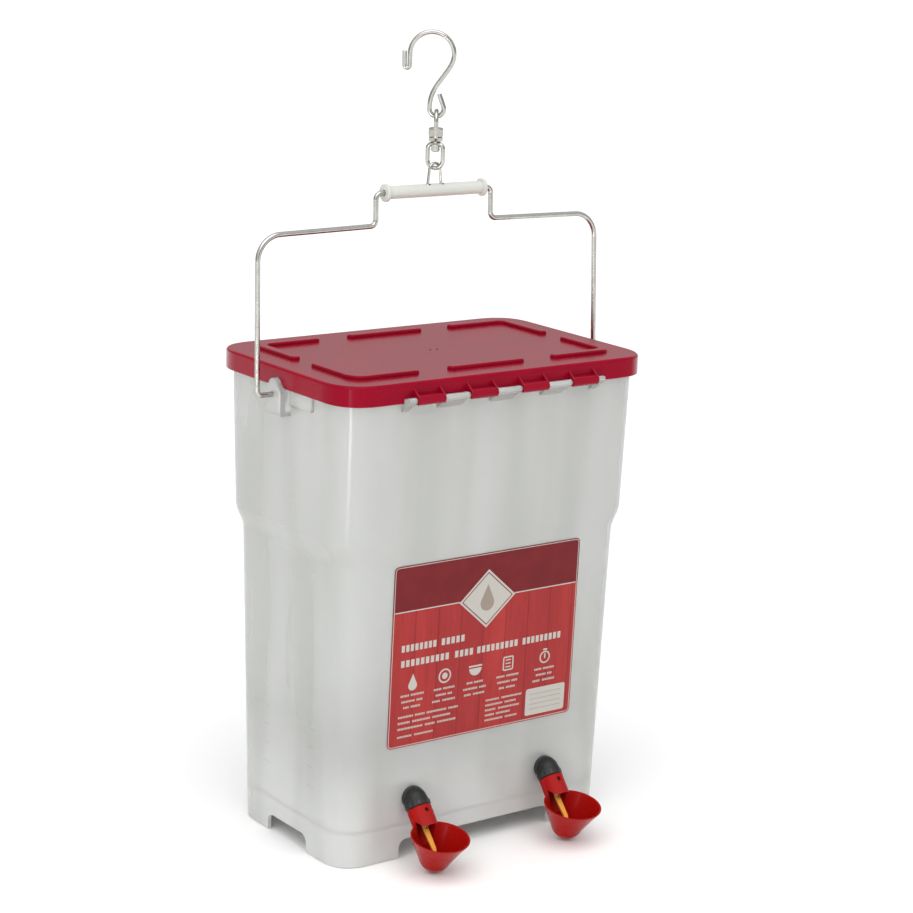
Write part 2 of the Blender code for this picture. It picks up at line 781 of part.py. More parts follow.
def build_hook(mat, axis_empty):
    path = [chain_point(HOOK_TURN, u, z) for u, z in hook_path()]
    pivot_at = chain_point(0, 0, EYE_HIGH)
    return finish(tube(path, HOOK_WIRE_R, 10), "hook", mat, pivot_at, axis_empty)


# ---------------------------------------------------------------- drinkers


def wall_point(x):
    """Where a drinker's stem meets the outside of the front wall."""
    return Vector((x, TANK_Y - WALL_AT_DRINKER, DRINKER_Z))


def elbow(x):
    return wall_point(x) + WALL_OUT * ELBOW_OUT


def build_valve_body(side, x, mat):
    """A threaded stem through the wall, a flange, and an elbow down to the spigot that the cup twists onto."""
    face = wall_point(x)
    centre = elbow(x)
    seal = GAP + SEAL_THICK + GAP
    body = turned(face, WALL_OUT, ((-16 * MM, STEM_R), (seal, STEM_R), (seal, FLANGE_R), (5 * MM, FLANGE_R)), 24)
    profile = []
    for k in range(7):
        a = math.pi / 2 * (1 - k / 6)
        profile.append((-ELBOW_R * math.sin(a), max(ELBOW_R * math.cos(a), 0.5 * MM)))
    profile += [(2 * MM, BARREL_R), (BARREL_END, BARREL_R), (BARREL_END, SPIGOT_R), (SPIGOT_END, SPIGOT_R)]
    bend = turned(centre, NECK, profile, 24)
    lug_count = 8
    for k in range(lug_count):
        a = 2 * math.pi * (k + 0.5) / lug_count
        out = Vector((1, 0, 0)) * math.cos(a) + NECK_FACE * math.sin(a)
        across = NECK.cross(out)
        place = lambda p, q, d: centre + NECK * d + out * p + across * q
        half = 1.7 * MM
        outline = ((8.5 * MM, -half), (10.4 * MM, -half * 0.7), (10.4 * MM, half * 0.7), (8.5 * MM, half))
        add(bend, prism(outline, place, (3 * MM, BARREL_END - 0.6 * MM)))
    cut(bend, rod(face, WALL_OUT, -15 * MM, 4 * MM, 25 * MM, 24))
    add(body, bend)
    pip = centre + NECK * DETENT_AT
    add(body, rod(pip, NECK_FACE, SPIGOT_R - 1 * MM, SLEEVE_BORE_R - 0.2 * MM, 1.2 * MM, 10))
    cut(body, rod(face, WALL_OUT, -17 * MM, ELBOW_OUT, STEM_BORE_R, 16))
    cut(body, rod(centre, NECK, -1 * MM, SPIGOT_END + 1 * MM, VALVE_BORE_R, 16))
    return finish(body, f"valve_body_{side}", mat)


def ring_piece(name, origin, axis, start, end, outer, inner, mat, steps=24):
    piece = rod(origin, axis, start, end, outer, steps)
    cut(piece, rod(origin, axis, start - 1 * MM, end + 1 * MM, inner, steps))
    return finish(piece, name, mat)


def build_nut(side, x, mat):
    start = -(TANK_WALL + GAP + SEAL_THICK + 2 * GAP)
    nut = rod(wall_point(x), WALL_OUT, start - NUT_THICK, start, NUT_FLAT / math.cos(math.pi / 6), 6)
    cut(nut, rod(wall_point(x), WALL_OUT, start - NUT_THICK - 1 * MM, start + 1 * MM, STEM_R + GAP, 24))
    return finish(nut, f"lock_nut_{side}", mat)


def build_spring(side, x, mat):
    """A small coil that presses the valve pin's head onto its seat."""
    centre = elbow(x)
    u, v = frame_of(NECK)
    start, end, turns, steps = 3.6 * MM, 10.4 * MM, 4, 10
    path = []
    for k in range(turns * steps + 1):
        a = 2 * math.pi * k / steps
        s = start + (end - start) * k / (turns * steps)
        path.append(centre + NECK * s + (u * math.cos(a) + v * math.sin(a)) * 2.9 * MM)
    return finish(tube(path, 0.35 * MM, 5), f"valve_spring_{side}", mat)


def tilt_point(x):
    return elbow(x) + NECK * TILT_AT


def build_pin(side, x, mat, axis_empty):
    profile = (
        (PIN_HEAD_FROM, PIN_HEAD_R - 0.4 * MM),
        (PIN_HEAD_FROM + 0.4 * MM, PIN_HEAD_R),
        (TILT_AT, PIN_HEAD_R),
        (TILT_AT, PIN_R),
        (PIN_END - 0.4 * MM, PIN_R),
        (PIN_END, PIN_R - 0.4 * MM),
    )
    pin = turned(elbow(x), NECK, profile, 16)
    return finish(pin, f"valve_pin_{side}", mat, tilt_point(x), axis_empty)


def build_trigger(side, x, mat, axis_empty):
    """A collar pressed onto the pin, with a rounded blade that reaches down into the bowl."""
    centre = elbow(x)
    collar_from, collar_to = 19.5 * MM, 23.6 * MM
    trigger = rod(centre, NECK, collar_from, collar_to, 2.9 * MM, 16)
    back, front = -2.6 * MM, -0.2 * MM
    blade = []
    for s, half in ((20 * MM, 2.1 * MM), (26 * MM, 2.3 * MM), (TRIGGER_END - 3 * MM, 1.9 * MM), (TRIGGER_END, 1.0 * MM)):
        ring = []
        for q, p in ((-half, back), (half, back), (half * 0.8, front), (-half * 0.8, front)):
            lift = 1.2 * MM if s > 30 * MM else 0
            ring.append(centre + NECK * s + Vector((q, 0, 0)) + NECK_FACE * (p + lift))
        blade.append(ring)
    add(trigger, loft(blade))
    cut(trigger, rod(centre, NECK, collar_from - 1 * MM, PIN_END + 2 * MM, PIN_R + 0.05 * MM, 16))
    return finish(trigger, f"trigger_{side}", mat, tilt_point(x), axis_empty)


def bowl_rings(x, thin):
    """Rings of the bowl from the tilted rim down to the round bottom, drawn in by thin for the inside."""
    centre = elbow(x)
    steps = 32
    latitude = math.radians(27)
    low_r = BOWL_R - thin
    top = Vector((0, -RIM_OUT, -RIM_DOWN))
    low = Vector((0, -BOWL_OUT, -BOWL_DOWN - low_r * math.sin(latitude)))
    start = -0.12 if thin else 0.0
    rings = []
    for k in range(4):
        t = start + (1 - start) * k / 3
        tilt = RIM_TILT * (1 - t)
        radius = (RIM_R - thin) * (1 - t) + low_r * math.cos(latitude) * t
        forward = Vector((0, -math.cos(tilt), -math.sin(tilt)))
        middle = centre + top.lerp(low, t)
        ring = []
        for n in range(steps):
            a = 2 * math.pi * n / steps
            ring.append(middle + Vector((1, 0, 0)) * radius * math.cos(a) + forward * radius * math.sin(a))
        rings.append(ring)
    for k in range(1, 5):
        a = latitude + (math.radians(84) - latitude) * k / 4
        middle = centre + Vector((0, -BOWL_OUT, -BOWL_DOWN - low_r * math.sin(a)))
        rings.append(circle(middle, (0, 0, -1), low_r * math.cos(a), steps))
    return rings


def build_cup(side, x, mat, axis_empty):
    """A round bowl with a sleeve at its back that twists onto the valve's spigot."""
    centre = elbow(x)
    rings = bowl_rings(x, 0.0)
    rings[4:] = [[p.copy() for p in aligned(ring, rings[3])] for ring in rings[4:]]
    cup = loft(rings)
    sleeve = rod(centre, NECK, BARREL_END + GAP, SLEEVE_END, SLEEVE_R, 32)
    mouth = ((SLEEVE_MOUTH, 0), (SLEEVE_END + 1 * MM, 0), (SLEEVE_END + 1 * MM, 12 * MM), (SLEEVE_MOUTH, 12 * MM))
    place = lambda a, b, d: centre + NECK * a + NECK_FACE * b + Vector((d, 0, 0))
    cut(sleeve, prism(mouth, place, (-12 * MM, 12 * MM)))
    add(cup, sleeve)
    inner = bowl_rings(x, CUP_WALL)
    inner[4:] = [[p.copy() for p in aligned(ring, inner[3])] for ring in inner[4:]]
    cut(cup, loft(inner))
    cut(cup, rod(centre, NECK, BARREL_END - 1 * MM, SLEEVE_END, SLEEVE_BORE_R, 32))
    detent = centre + NECK * DETENT_AT
    cut(cup, rod(detent, NECK_FACE, SPIGOT_R, SLEEVE_R + 2 * MM, DETENT_R, 14))
    return finish(cup, f"cup_{side}", mat, centre, axis_empty, angle=40)


def aligned(ring, other):
    """The same ring of points, in the order and from the start that lies nearest another ring."""
    middle = sum(ring, Vector()) / len(ring)
    centre = sum(other, Vector()) / len(other)
    result = []
    for p in other:
        want = (p - centre).normalized()
        best = max(ring, key=lambda q: (q - middle).normalized().dot(want))
        result.append(best)
    return result


def build_drinker(side, x, mats):
    body = build_valve_body(side, x, mats["black"])
    face = wall_point(x)
    ring_piece(f"outer_seal_{side}", face, WALL_OUT, GAP, GAP + SEAL_THICK, SEAL_R, STEM_R + GAP, mats["rubber"])
    inside = -(TANK_WALL + GAP)
    ring_piece(
        f"inner_washer_{side}", face, WALL_OUT, inside - SEAL_THICK, inside, SEAL_R, STEM_R + GAP, mats["rubber"]
    )
    build_nut(side, x, mats["black"])
    ring_piece(
        f"valve_seat_{side}", elbow(x), NECK, SEAT_FROM, SEAT_TO, VALVE_BORE_R - GAP, PIN_R + 0.7 * MM, mats["seat"], 16
    )
    build_spring(side, x, mats["steel"])
    tilt = pivot(f"trigger_axis_{side}", tilt_point(x))
    build_pin(side, x, mats["steel"], tilt)
    build_trigger(side, x, mats["yellow"], tilt)
    twist = pivot(f"cup_axis_{side}", elbow(x))
    build_cup(side, x, mats["red"], twist)
    return body


# ---------------------------------------------------------------- label


def build_label(mat):
    """A thin rounded sheet parallel to the front wall."""
    r = LABEL_ROUND
    middle = (LABEL_LOW + LABEL_HIGH) / 2
    half = (LABEL_HIGH - LABEL_LOW) / 2
    outline = []
    for cx, cy, start in ((1, 1, 0), (-1, 1, 90), (-1, -1, 180), (1, -1, 270)):
        outline += arc((cx * (LABEL_HALF - r), cy * (half - r)), r, start, start + 90, 4)
    wall = Vector((0, TANK_Y - (LID_DEPTH / 2 - inset_at(middle)[1]), middle))
    up = Vector((0, -math.sin(WALL_LEAN), math.cos(WALL_LEAN)))
    place = lambda a, b, d: wall + Vector((a + LABEL_X, 0, 0)) + up * b + WALL_OUT * d
    label = prism(outline, place, (GAP, GAP + LABEL_THICK))
    return finish(label, "label", mat)


def main():
    clear_scene()
    mats = {
        "tank": material("tank_plastic", (0.80, 0.80, 0.77), 0.35, alpha=0.6),
        "red": material("red_plastic", (0.55, 0.02, 0.03), 0.25),
        "steel": material("bright_steel", (0.75, 0.75, 0.74), 0.22, 1.0),
        "white": material("white_plastic", (0.85, 0.86, 0.84), 0.35),
        "black": material("black_plastic", (0.03, 0.035, 0.032), 0.4),
        "rubber": material("seal_rubber", (0.05, 0.05, 0.05), 0.7),
        "seat": material("seat_rubber", (0.45, 0.42, 0.38), 0.6),
        "yellow": material("yellow_plastic", (0.85, 0.45, 0.05), 0.35),
        "label": material("label_film", (0.42, 0.04, 0.05), 0.4),
    }
    build_tank(mats["tank"])
    lid_axis = pivot("lid_axis", hinge_rod_centre())
    build_lid(mats["red"], lid_axis)
    build_label(mats["label"])
    bail_axis = pivot("bail_axis", bail_point(0, 0))
    build_bail(mats["steel"], bail_axis)
    grip_axis = pivot("grip_axis", bail_point(0, BAIL_GRIP), bail_axis)
    build_grip(mats["white"], grip_axis)
    build_hanger(mats["steel"], grip_axis)
    yoke_axis = pivot("yoke_axis", chain_point(0, 0, YOKE_SWING_AT), grip_axis)
    build_yoke(mats["steel"], yoke_axis)
    spin_axis = pivot("spin_axis", bail_point(0, BAIL_GRIP), yoke_axis)
    build_eye(mats["steel"], spin_axis)
    hook_axis = pivot("hook_axis", chain_point(0, 0, EYE_HIGH), spin_axis)
    build_hook(mats["steel"], hook_axis)
    build_drinker("left", -DRINKER_X, mats)
    build_drinker("right", DRINKER_X, mats)


main()
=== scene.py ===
"""Looks of the hanging poultry waterer fount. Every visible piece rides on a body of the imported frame."""

import json
import math

import bmesh
import bpy
from mathutils import Matrix, Vector


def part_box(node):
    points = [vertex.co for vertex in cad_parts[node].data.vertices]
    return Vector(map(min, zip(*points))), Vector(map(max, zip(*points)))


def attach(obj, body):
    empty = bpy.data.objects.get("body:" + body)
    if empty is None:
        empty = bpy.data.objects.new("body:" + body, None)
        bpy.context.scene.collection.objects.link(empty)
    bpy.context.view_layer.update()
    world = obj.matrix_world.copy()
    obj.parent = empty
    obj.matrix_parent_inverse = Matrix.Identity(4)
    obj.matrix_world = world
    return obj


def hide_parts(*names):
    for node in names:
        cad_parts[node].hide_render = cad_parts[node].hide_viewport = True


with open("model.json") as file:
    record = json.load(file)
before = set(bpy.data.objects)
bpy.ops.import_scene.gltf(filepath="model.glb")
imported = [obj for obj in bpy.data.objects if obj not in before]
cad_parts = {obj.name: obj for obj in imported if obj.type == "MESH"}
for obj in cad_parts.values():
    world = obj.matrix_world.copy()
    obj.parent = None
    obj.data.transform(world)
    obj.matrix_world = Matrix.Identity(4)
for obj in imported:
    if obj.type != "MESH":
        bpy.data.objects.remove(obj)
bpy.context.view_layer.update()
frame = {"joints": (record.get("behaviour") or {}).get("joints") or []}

MM = 0.001
GAP = 0.3 * MM
JOINTS = {j["name"]: j for j in frame["joints"]}


def joint_place(name):
    return Vector(JOINTS[name]["pos_m"])


# ---------------------------------------------------------------- sizes, as in the CAD

BAIL_DROP = 21.4 * MM
TANK_Y = joint_place("bail_hinge").y
HEIGHT = joint_place("bail_hinge").z + BAIL_DROP
LID_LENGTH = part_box("lid")[1].x * 2
LID_DEPTH = 191.6 * MM
SKIRT = 16 * MM
PLATE = 2 * MM
TANK_WALL = 2 * MM
CORNER = 34 * MM
CORNER_SQUARENESS = 2.6

STEP_LOW, STEP_HIGH = 242 * MM, 264 * MM
FOOT_INSET = (15.5 * MM, 19.1 * MM)
STEP_LOW_INSET = (12.5 * MM, 11.3 * MM)
STEP_HIGH_INSET = (6.5 * MM, 9.2 * MM)
RIM_INSET = 5 * MM
RIM_TOP = HEIGHT - PLATE - GAP
FLOOR_TOP = 29 * MM
FLOOR_UNDER = 26.5 * MM
SKIRT_WALL = 3 * MM
FOOT_ARCH_X = 148 * MM
FOOT_ARCH_Y = 57 * MM
FOOT_ARCH_HIGH = 16 * MM
FOOT_ARCH_LOW = 14.6 * MM
FOOT_ARCH_ROUND = 7 * MM

RIB_WIDTH = 8 * MM
RIB_HEIGHT = 3 * MM
RIB_LINE_Y = 69.7 * MM
RIB_LINE_X = 119.7 * MM
RIB_MID_HALF = 31.8 * MM
RIB_CORNER_FROM_X = 67.3 * MM
RIB_CORNER_FROM_Y = 15.6 * MM
RIB_ROUND = 9 * MM

HINGE = joint_place("lid_hinge")
HINGE_ROD_R = 1.6 * MM
CLIP_OUTER_R = 3.7 * MM
CLIP_INNER_R = 1.9 * MM
CLIP_WIDTH = 25 * MM
CLIP_PITCH = 48.7 * MM
CLIP_COUNT = 4
HINGE_HALF = 93.5 * MM
HINGE_SKIRT = 12 * MM
GUSSET_TOP = 4.3 * MM
GUSSET_THICK = 1.6 * MM

WIRE_R = 2 * MM
BAIL_LEAN = math.radians(2.3)
BAIL_FOOT_X = 162.5 * MM
BAIL_SHOULDER_X = 160.9 * MM
BAIL_SHOULDER_OUT = 120.7 * MM
BAIL_SHOULDER_IN = 122.4 * MM
BAIL_RISER_X = 54.8 * MM
BAIL_GRIP = 147.4 * MM
BOSS_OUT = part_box("tank")[1].x
BOSS_HALF = 11.5 * MM
BOSS_TOP = 8.8 * MM
BOSS_LOW = 37 * MM
BAIL_HOLE_END = 141 * MM
PAD_OUT = 141.6 * MM
PAD_HALF = 44 * MM
PAD_LOW = 29 * MM

GRIP_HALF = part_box("grip")[1].x
GRIP_R = 5.1 * MM
GRIP_FLANGE_R = 7 * MM
GRIP_FLANGE = 3 * MM
HANGER_R = 1.1 * MM
HANGER_HALF = 6.4 * MM
HANGER_APEX = 21 * MM
HANGER_ARCH_R = 5 * MM
HANGER_HOOK_R = 3.35 * MM

YOKE_TURN = math.radians(-52)
HOOK_TURN = math.radians(-36)
EYE_TURN = math.radians(54)
YOKE_WIRE_R = 1.65 * MM
YOKE_HALF = 6.2 * MM
YOKE_LOW = 17.2 * MM
YOKE_HIGH = 36.1 * MM
SHANK_R = 1.9 * MM
RIVET_R = 3.3 * MM
RIVET_LOW = 30 * MM
BARREL_LOW = 41.7 * MM
BARREL_HIGH = 48.5 * MM
SWIVEL_BARREL_R = 5.6 * MM
EYE_WIRE_R = 1.7 * MM
EYE_HALF = 7.9 * MM
EYE_LOW = 39.7 * MM
EYE_HIGH = 61.4 * MM
EYE_BASE_R = 5.35 * MM
HOOK_WIRE_R = 1.8 * MM
HOOK_EYE_R = 5.6 * MM
HOOK_EYE_LOW = 57.4 * MM
HOOK_BEND_R = 17 * MM
HOOK_BEND_X = -4.7 * MM
HOOK_BEND_Z = 105 * MM
HOOK_TIP_GAP = 2.1 * MM

NECK = Vector(JOINTS["cup_twist_left"]["axis"])
NECK_FACE = Vector((0, NECK.z, -NECK.y))
DRINKER = joint_place("cup_twist_right")
DRINKER_X = DRINKER.x
ELBOW_OUT = 6.5 * MM
STEM_R = 6 * MM
SEAL_R = 9 * MM
SEAL_THICK = 1.5 * MM
FLANGE_R = 9.5 * MM
ELBOW_R = 9.2 * MM
BARREL_R = 9.7 * MM
BARREL_END = 7.7 * MM
SPIGOT_R = 7.7 * MM
SPIGOT_END = 17.5 * MM
STEM_BORE_R = 3.2 * MM
VALVE_BORE_R = 4.2 * MM
NUT_FLAT = 9.5 * MM
NUT_THICK = 5 * MM
SLEEVE_R = 10 * MM
SLEEVE_BORE_R = 8.2 * MM
SLEEVE_MOUTH = 25 * MM
SLEEVE_END = 37 * MM
DETENT_AT = 12.8 * MM
DETENT_R = 1.8 * MM
RIM_R = 23.6 * MM
RIM_TILT = math.radians(10.5)
RIM_OUT = 35 * MM
RIM_DOWN = 19.5 * MM
BOWL_OUT = 28.8 * MM
BOWL_DOWN = 36.5 * MM
BOWL_R = 13.4 * MM
CUP_WALL = 1.5 * MM
PIN_R = 1.3 * MM
PIN_HEAD_R = 3 * MM
PIN_HEAD_FROM = 11.2 * MM
PIN_HEAD_TO = 12.4 * MM
SEAT_FROM = 13 * MM
SEAT_TO = 15.5 * MM
PIN_END = 25.5 * MM

LABEL_X = -0.8 * MM
LABEL_HALF = 89.4 * MM
LABEL_LOW = 94.5 * MM
LABEL_HIGH = 242.5 * MM
LABEL_FILM = 0.3 * MM
PRINT_THICK = 0.04 * MM
LABEL_ROUND = 4 * MM

WALL_LEAN = math.atan2(FOOT_INSET[1] - STEP_LOW_INSET[1], STEP_LOW)
WALL_OUT = Vector((0, -math.cos(WALL_LEAN), -math.sin(WALL_LEAN)))
WALL_UP = Vector((0, -math.sin(WALL_LEAN), math.cos(WALL_LEAN)))


# ---------------------------------------------------------------- mesh tools


def new_object(name, bm):
    """A mesh object from a bmesh, with its faces turned outwards."""
    bmesh.ops.recalc_face_normals(bm, faces=bm.faces)
    mesh = bpy.data.meshes.new(name)
    bm.to_mesh(mesh)
    bm.free()
    obj = bpy.data.objects.new(name, mesh)
    bpy.context.scene.collection.objects.link(obj)
    return obj


def loft(rings, name="tool", closed=False):
    """A skin over rings of equal length: capped at both ends, or closed round into a ring."""
    bm = bmesh.new()
    loops = [[bm.verts.new(p) for p in ring] for ring in rings]
    pairs = list(zip(loops, loops[1:]))
    if closed:
        pairs.append((loops[-1], loops[0]))
    else:
        bm.faces.new(loops[0])
        bm.faces.new(loops[-1])
    for a, b in pairs:
        for k in range(len(a)):
            n = (k + 1) % len(a)
            bm.faces.new((a[k], a[n], b[n], b[k]))
    return new_object(name, bm)


def combine(obj, tool, operation):
    """Applies an exact boolean and removes the tool."""
    mod = obj.modifiers.new("Boolean", "BOOLEAN")
    mod.operation = operation
    mod.solver = "EXACT"
    mod.object = tool
    result = obj.evaluated_get(bpy.context.evaluated_depsgraph_get())
    mesh = bpy.data.meshes.new_from_object(result)
    obj.modifiers.clear()
    old = obj.data
    obj.data = mesh
    bpy.data.meshes.remove(old)
    bpy.data.objects.remove(tool, do_unlink=True)


def add(obj, tool):
    combine(obj, tool, "UNION")


def cut(obj, tool):
    combine(obj, tool, "DIFFERENCE")


def join(name, objects):
    """Several meshes that don't meet, as one object."""
    bm = bmesh.new()
    for obj in objects:
        bm.from_mesh(obj.data)
        bpy.data.objects.remove(obj, do_unlink=True)
    return new_object(name, bm)


def frame_of(axis):
    """Two unit vectors at right angles to an axis and to each other."""
    axis = Vector(axis).normalized()
    side = Vector((1, 0, 0)) if abs(axis.x) < 0.9 else Vector((0, 1, 0))
    u = (side - axis * side.dot(axis)).normalized()
    return u, axis.cross(u)


def circle(centre, axis, radius, steps, start=0.0):
    u, v = frame_of(axis)
    ring = []
    for k in range(steps):
        a = start + 2 * math.pi * k / steps
        ring.append(Vector(centre) + u * radius * math.cos(a) + v * radius * math.sin(a))
    return ring


def turned(origin, axis, profile, steps=48, name="tool", closed=False):
    """A solid of revolution: profile holds (distance along the axis, radius)."""
    axis = Vector(axis).normalized()
    rings = [circle(Vector(origin) + axis * s, axis, r, steps) for s, r in profile]
    return loft(rings, name, closed)


def rod(origin, axis, start, end, radius, steps=48, name="tool"):
    return turned(origin, axis, ((start, radius), (end, radius)), steps, name)


def box(low, high, name="tool"):
    ring = [(low[0], low[1]), (high[0], low[1]), (high[0], high[1]), (low[0], high[1])]
    return loft([[Vector((x, y, z)) for x, y in ring] for z in (low[2], high[2])], name)


def prism(outline, place, depth, name="tool"):
    """Extrudes a flat outline: place maps (a, b, depth) to a point in space."""
    return loft([[place(a, b, d) for a, b in outline] for d in depth], name)


def inset_outline(outline, amount):
    """A closed outline moved in by an amount, whichever way round it runs."""
    area = sum(a[0] * b[1] - b[0] * a[1] for a, b in zip(outline, outline[1:] + outline[:1]))
    turn = 1 if area > 0 else -1
    result = []
    count = len(outline)
    for k, point in enumerate(outline):
        before, after = Vector(outline[k - 1]), Vector(outline[(k + 1) % count])
        here = Vector(point)
        e0, e1 = (here - before).normalized(), (after - here).normalized()
        n0, n1 = Vector((-e0.y, e0.x)) * turn, Vector((-e1.y, e1.x)) * turn
        middle = (n0 + n1).normalized()
        reach = amount / max(middle.dot(n0), 0.35)
        result.append(tuple(here + middle * reach))
    return result


def soft_prism(outline, place, low, high, edge, steps=4, both=False, name="tool"):
    """A prism whose edge at the high end, or at both ends, is rounded over."""
    turns = [math.pi / 2 * k / steps for k in range(steps + 1)]
    sign = 1 if high > low else -1
    rings = []
    if both:
        for a in reversed(turns):
            rings.append((low + sign * edge * (1 - math.sin(a)), edge * (1 - math.cos(a))))
    else:
        rings.append((low, 0))
    for a in turns:
        rings.append((high - sign * edge * (1 - math.sin(a)), edge * (1 - math.cos(a))))
    shapes = [(depth, inset_outline(outline, inset) if inset > 1e-7 else outline) for depth, inset in rings]
    return loft([[place(a, b, d) for a, b in shape] for d, shape in shapes], name)


def arc(centre, radius, start, end, steps):
    """Points on an arc in a plane, angles in degrees."""
    points = []
    for k in range(steps + 1):
        a = math.radians(start + (end - start) * k / steps)
        points.append((centre[0] + radius * math.cos(a), centre[1] + radius * math.sin(a)))
    return points


def rounded_rectangle(half_a, half_b, radius, steps=6, centre=(0, 0)):
    outline = []
    for sa, sb, start in ((1, 1, 0), (-1, 1, 90), (-1, -1, 180), (1, -1, 270)):
        middle = (centre[0] + sa * (half_a - radius), centre[1] + sb * (half_b - radius))
        outline += arc(middle, radius, start, start + 90, steps)
    return outline


def filleted(points, radii, step=math.radians(6)):
    """A path through straight runs with an arc of the given radius at each inner point."""
    points = [Vector(p) for p in points]
    path = [points[0]]
    for before, corner, after, radius in zip(points, points[1:], points[2:], radii):
        into = (corner - before).normalized()
        out = (after - corner).normalized()
        turn = into.angle(out)
        if turn < 1e-4 or radius <= 0:
            path.append(corner)
            continue
        reach = radius * math.tan(turn / 2)
        centre = corner + (out - into).normalized() * (radius / math.cos(turn / 2))
        spoke = corner - into * reach - centre
        axis = into.cross(out).normalized()
        count = max(2, math.ceil(turn / step))
        for k in range(count + 1):
            path.append(centre + Matrix.Rotation(turn * k / count, 3, axis) @ spoke)
    path.append(points[-1])
    return path


def tube(path, radius, sides=20, name="tool", closed=False, ends=None):
    """A round wire along a path. ends holds (share of the radius, distance in) for rounded ends."""
    path = [Vector(p) for p in path]
    count = len(path)
    tangents = []
    for k in range(count):
        before = path[k - 1] if closed or k else path[0]
        after = path[(k + 1) % count] if closed or k < count - 1 else path[-1]
        tangents.append((after - before).normalized())
    stations = [(p, t, radius) for p, t in zip(path, tangents)]
    if ends:
        first, last = stations[0], stations[-1]
        stations[0] = (first[0] + first[1] * ends, first[1], radius)
        stations[-1] = (last[0] - last[1] * ends, last[1], radius)
        stations.insert(0, (first[0], first[1], radius - ends))
        stations.append((last[0], last[1], radius - ends))
    normal = frame_of(tangents[0])[0]
    rings = []
    for point, tangent, size in stations:
        normal = (normal - tangent * normal.dot(tangent)).normalized()
        other = tangent.cross(normal)
        ring = []
        for k in range(sides):
            a = 2 * math.pi * k / sides
            ring.append(point + normal * size * math.cos(a) + other * size * math.sin(a))
        rings.append(ring)
    return loft(rings, name, closed)


def piece(obj, name, mat, body, nodes=(), angle=32):
    """Names a piece, gives it its material and smooth faces, and puts it on its body."""
    obj.name = name
    obj.data.name = name
    obj.data.materials.clear()
    obj.data.materials.append(mat)
    obj.data.shade_smooth()
    obj.data.set_sharp_from_angle(angle=math.radians(angle))
    normals = obj.modifiers.new("Normals", "WEIGHTED_NORMAL")
    normals.keep_sharp = True
    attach(obj, body)
    if nodes:
        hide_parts(*nodes)
    return obj


# ---------------------------------------------------------------- materials


class Nodes:
    """A material's node tree, with short calls for the nodes used here."""

    def __init__(self, name):
        self.mat = bpy.data.materials.new(name)
        self.mat.use_nodes = True
        self.tree = self.mat.node_tree
        self.shader = self.tree.nodes["Principled BSDF"]
        self.output = self.tree.nodes["Material Output"]
        self.coords = self.tree.nodes.new("ShaderNodeTexCoord").outputs["Object"]

    def node(self, kind, **values):
        made = self.tree.nodes.new(kind)
        for key, value in values.items():
            setattr(made, key, value)
        return made

    def link(self, source, target):
        if hasattr(source, "is_output"):
            self.tree.links.new(source, target)
        else:
            target.default_value = source

    def stretched(self, scale):
        made = self.node("ShaderNodeMapping")
        self.link(self.coords, made.inputs["Vector"])
        made.inputs["Scale"].default_value = scale
        return made.outputs["Vector"]

    def noise(self, size, detail=3.0, rough=0.5, stretch=None):
        """Cloudy values from 0 to 1 whose patches are about size metres across."""
        made = self.node("ShaderNodeTexNoise")
        made.inputs["Scale"].default_value = 1 / size
        made.inputs["Detail"].default_value = detail
        made.inputs["Roughness"].default_value = rough
        self.link(self.stretched(stretch) if stretch else self.coords, made.inputs["Vector"])
        return made.outputs["Fac"]

    def ramp(self, value, low, high, to_low=0.0, to_high=1.0, smooth=False):
        made = self.node("ShaderNodeMapRange")
        if smooth:
            made.interpolation_type = "SMOOTHSTEP"
        self.link(value, made.inputs["Value"])
        for key, number in (("From Min", low), ("From Max", high), ("To Min", to_low), ("To Max", to_high)):
            made.inputs[key].default_value = number
        return made.outputs["Result"]

    def math(self, operation, a, b=0.0):
        made = self.node("ShaderNodeMath", operation=operation)
        self.link(a, made.inputs[0])
        self.link(b, made.inputs[1])
        return made.outputs[0]

    def mix(self, factor, a, b, blend="MIX"):
        made = self.node("ShaderNodeMix", data_type="RGBA", blend_type=blend)
        self.link(factor, made.inputs["Factor"])
        for source, key in ((a, "A"), (b, "B")):
            target = [s for s in made.inputs if s.name == key and s.type == "RGBA"][0]
            if isinstance(source, tuple):
                target.default_value = (*source, 1)
            else:
                self.link(source, target)
        return [s for s in made.outputs if s.type == "RGBA"][0]

    def bump(self, height, distance, strength=1.0, under=None):
        made = self.node("ShaderNodeBump")
        made.inputs["Strength"].default_value = strength
        made.inputs["Distance"].default_value = distance
        self.link(height, made.inputs["Height"])
        if under is not None:
            self.link(under, made.inputs["Normal"])
        return made.outputs["Normal"]

    def axes(self):
        made = self.node("ShaderNodeSeparateXYZ")
        self.link(self.coords, made.inputs["Vector"])
        return made.outputs

    def finish(self, colour, roughness, normal=None, **plain):
        self.link(colour if not isinstance(colour, tuple) else (*colour, 1), self.shader.inputs["Base Color"])
        self.link(roughness, self.shader.inputs["Roughness"])
        if normal is not None:
            self.link(normal, self.shader.inputs["Normal"])
        for key, value in plain.items():
            self.shader.inputs[key.replace("_", " ")].default_value = value
        return self.mat


def tint(colour, factor):
    return tuple(min(c * factor, 1) for c in colour)


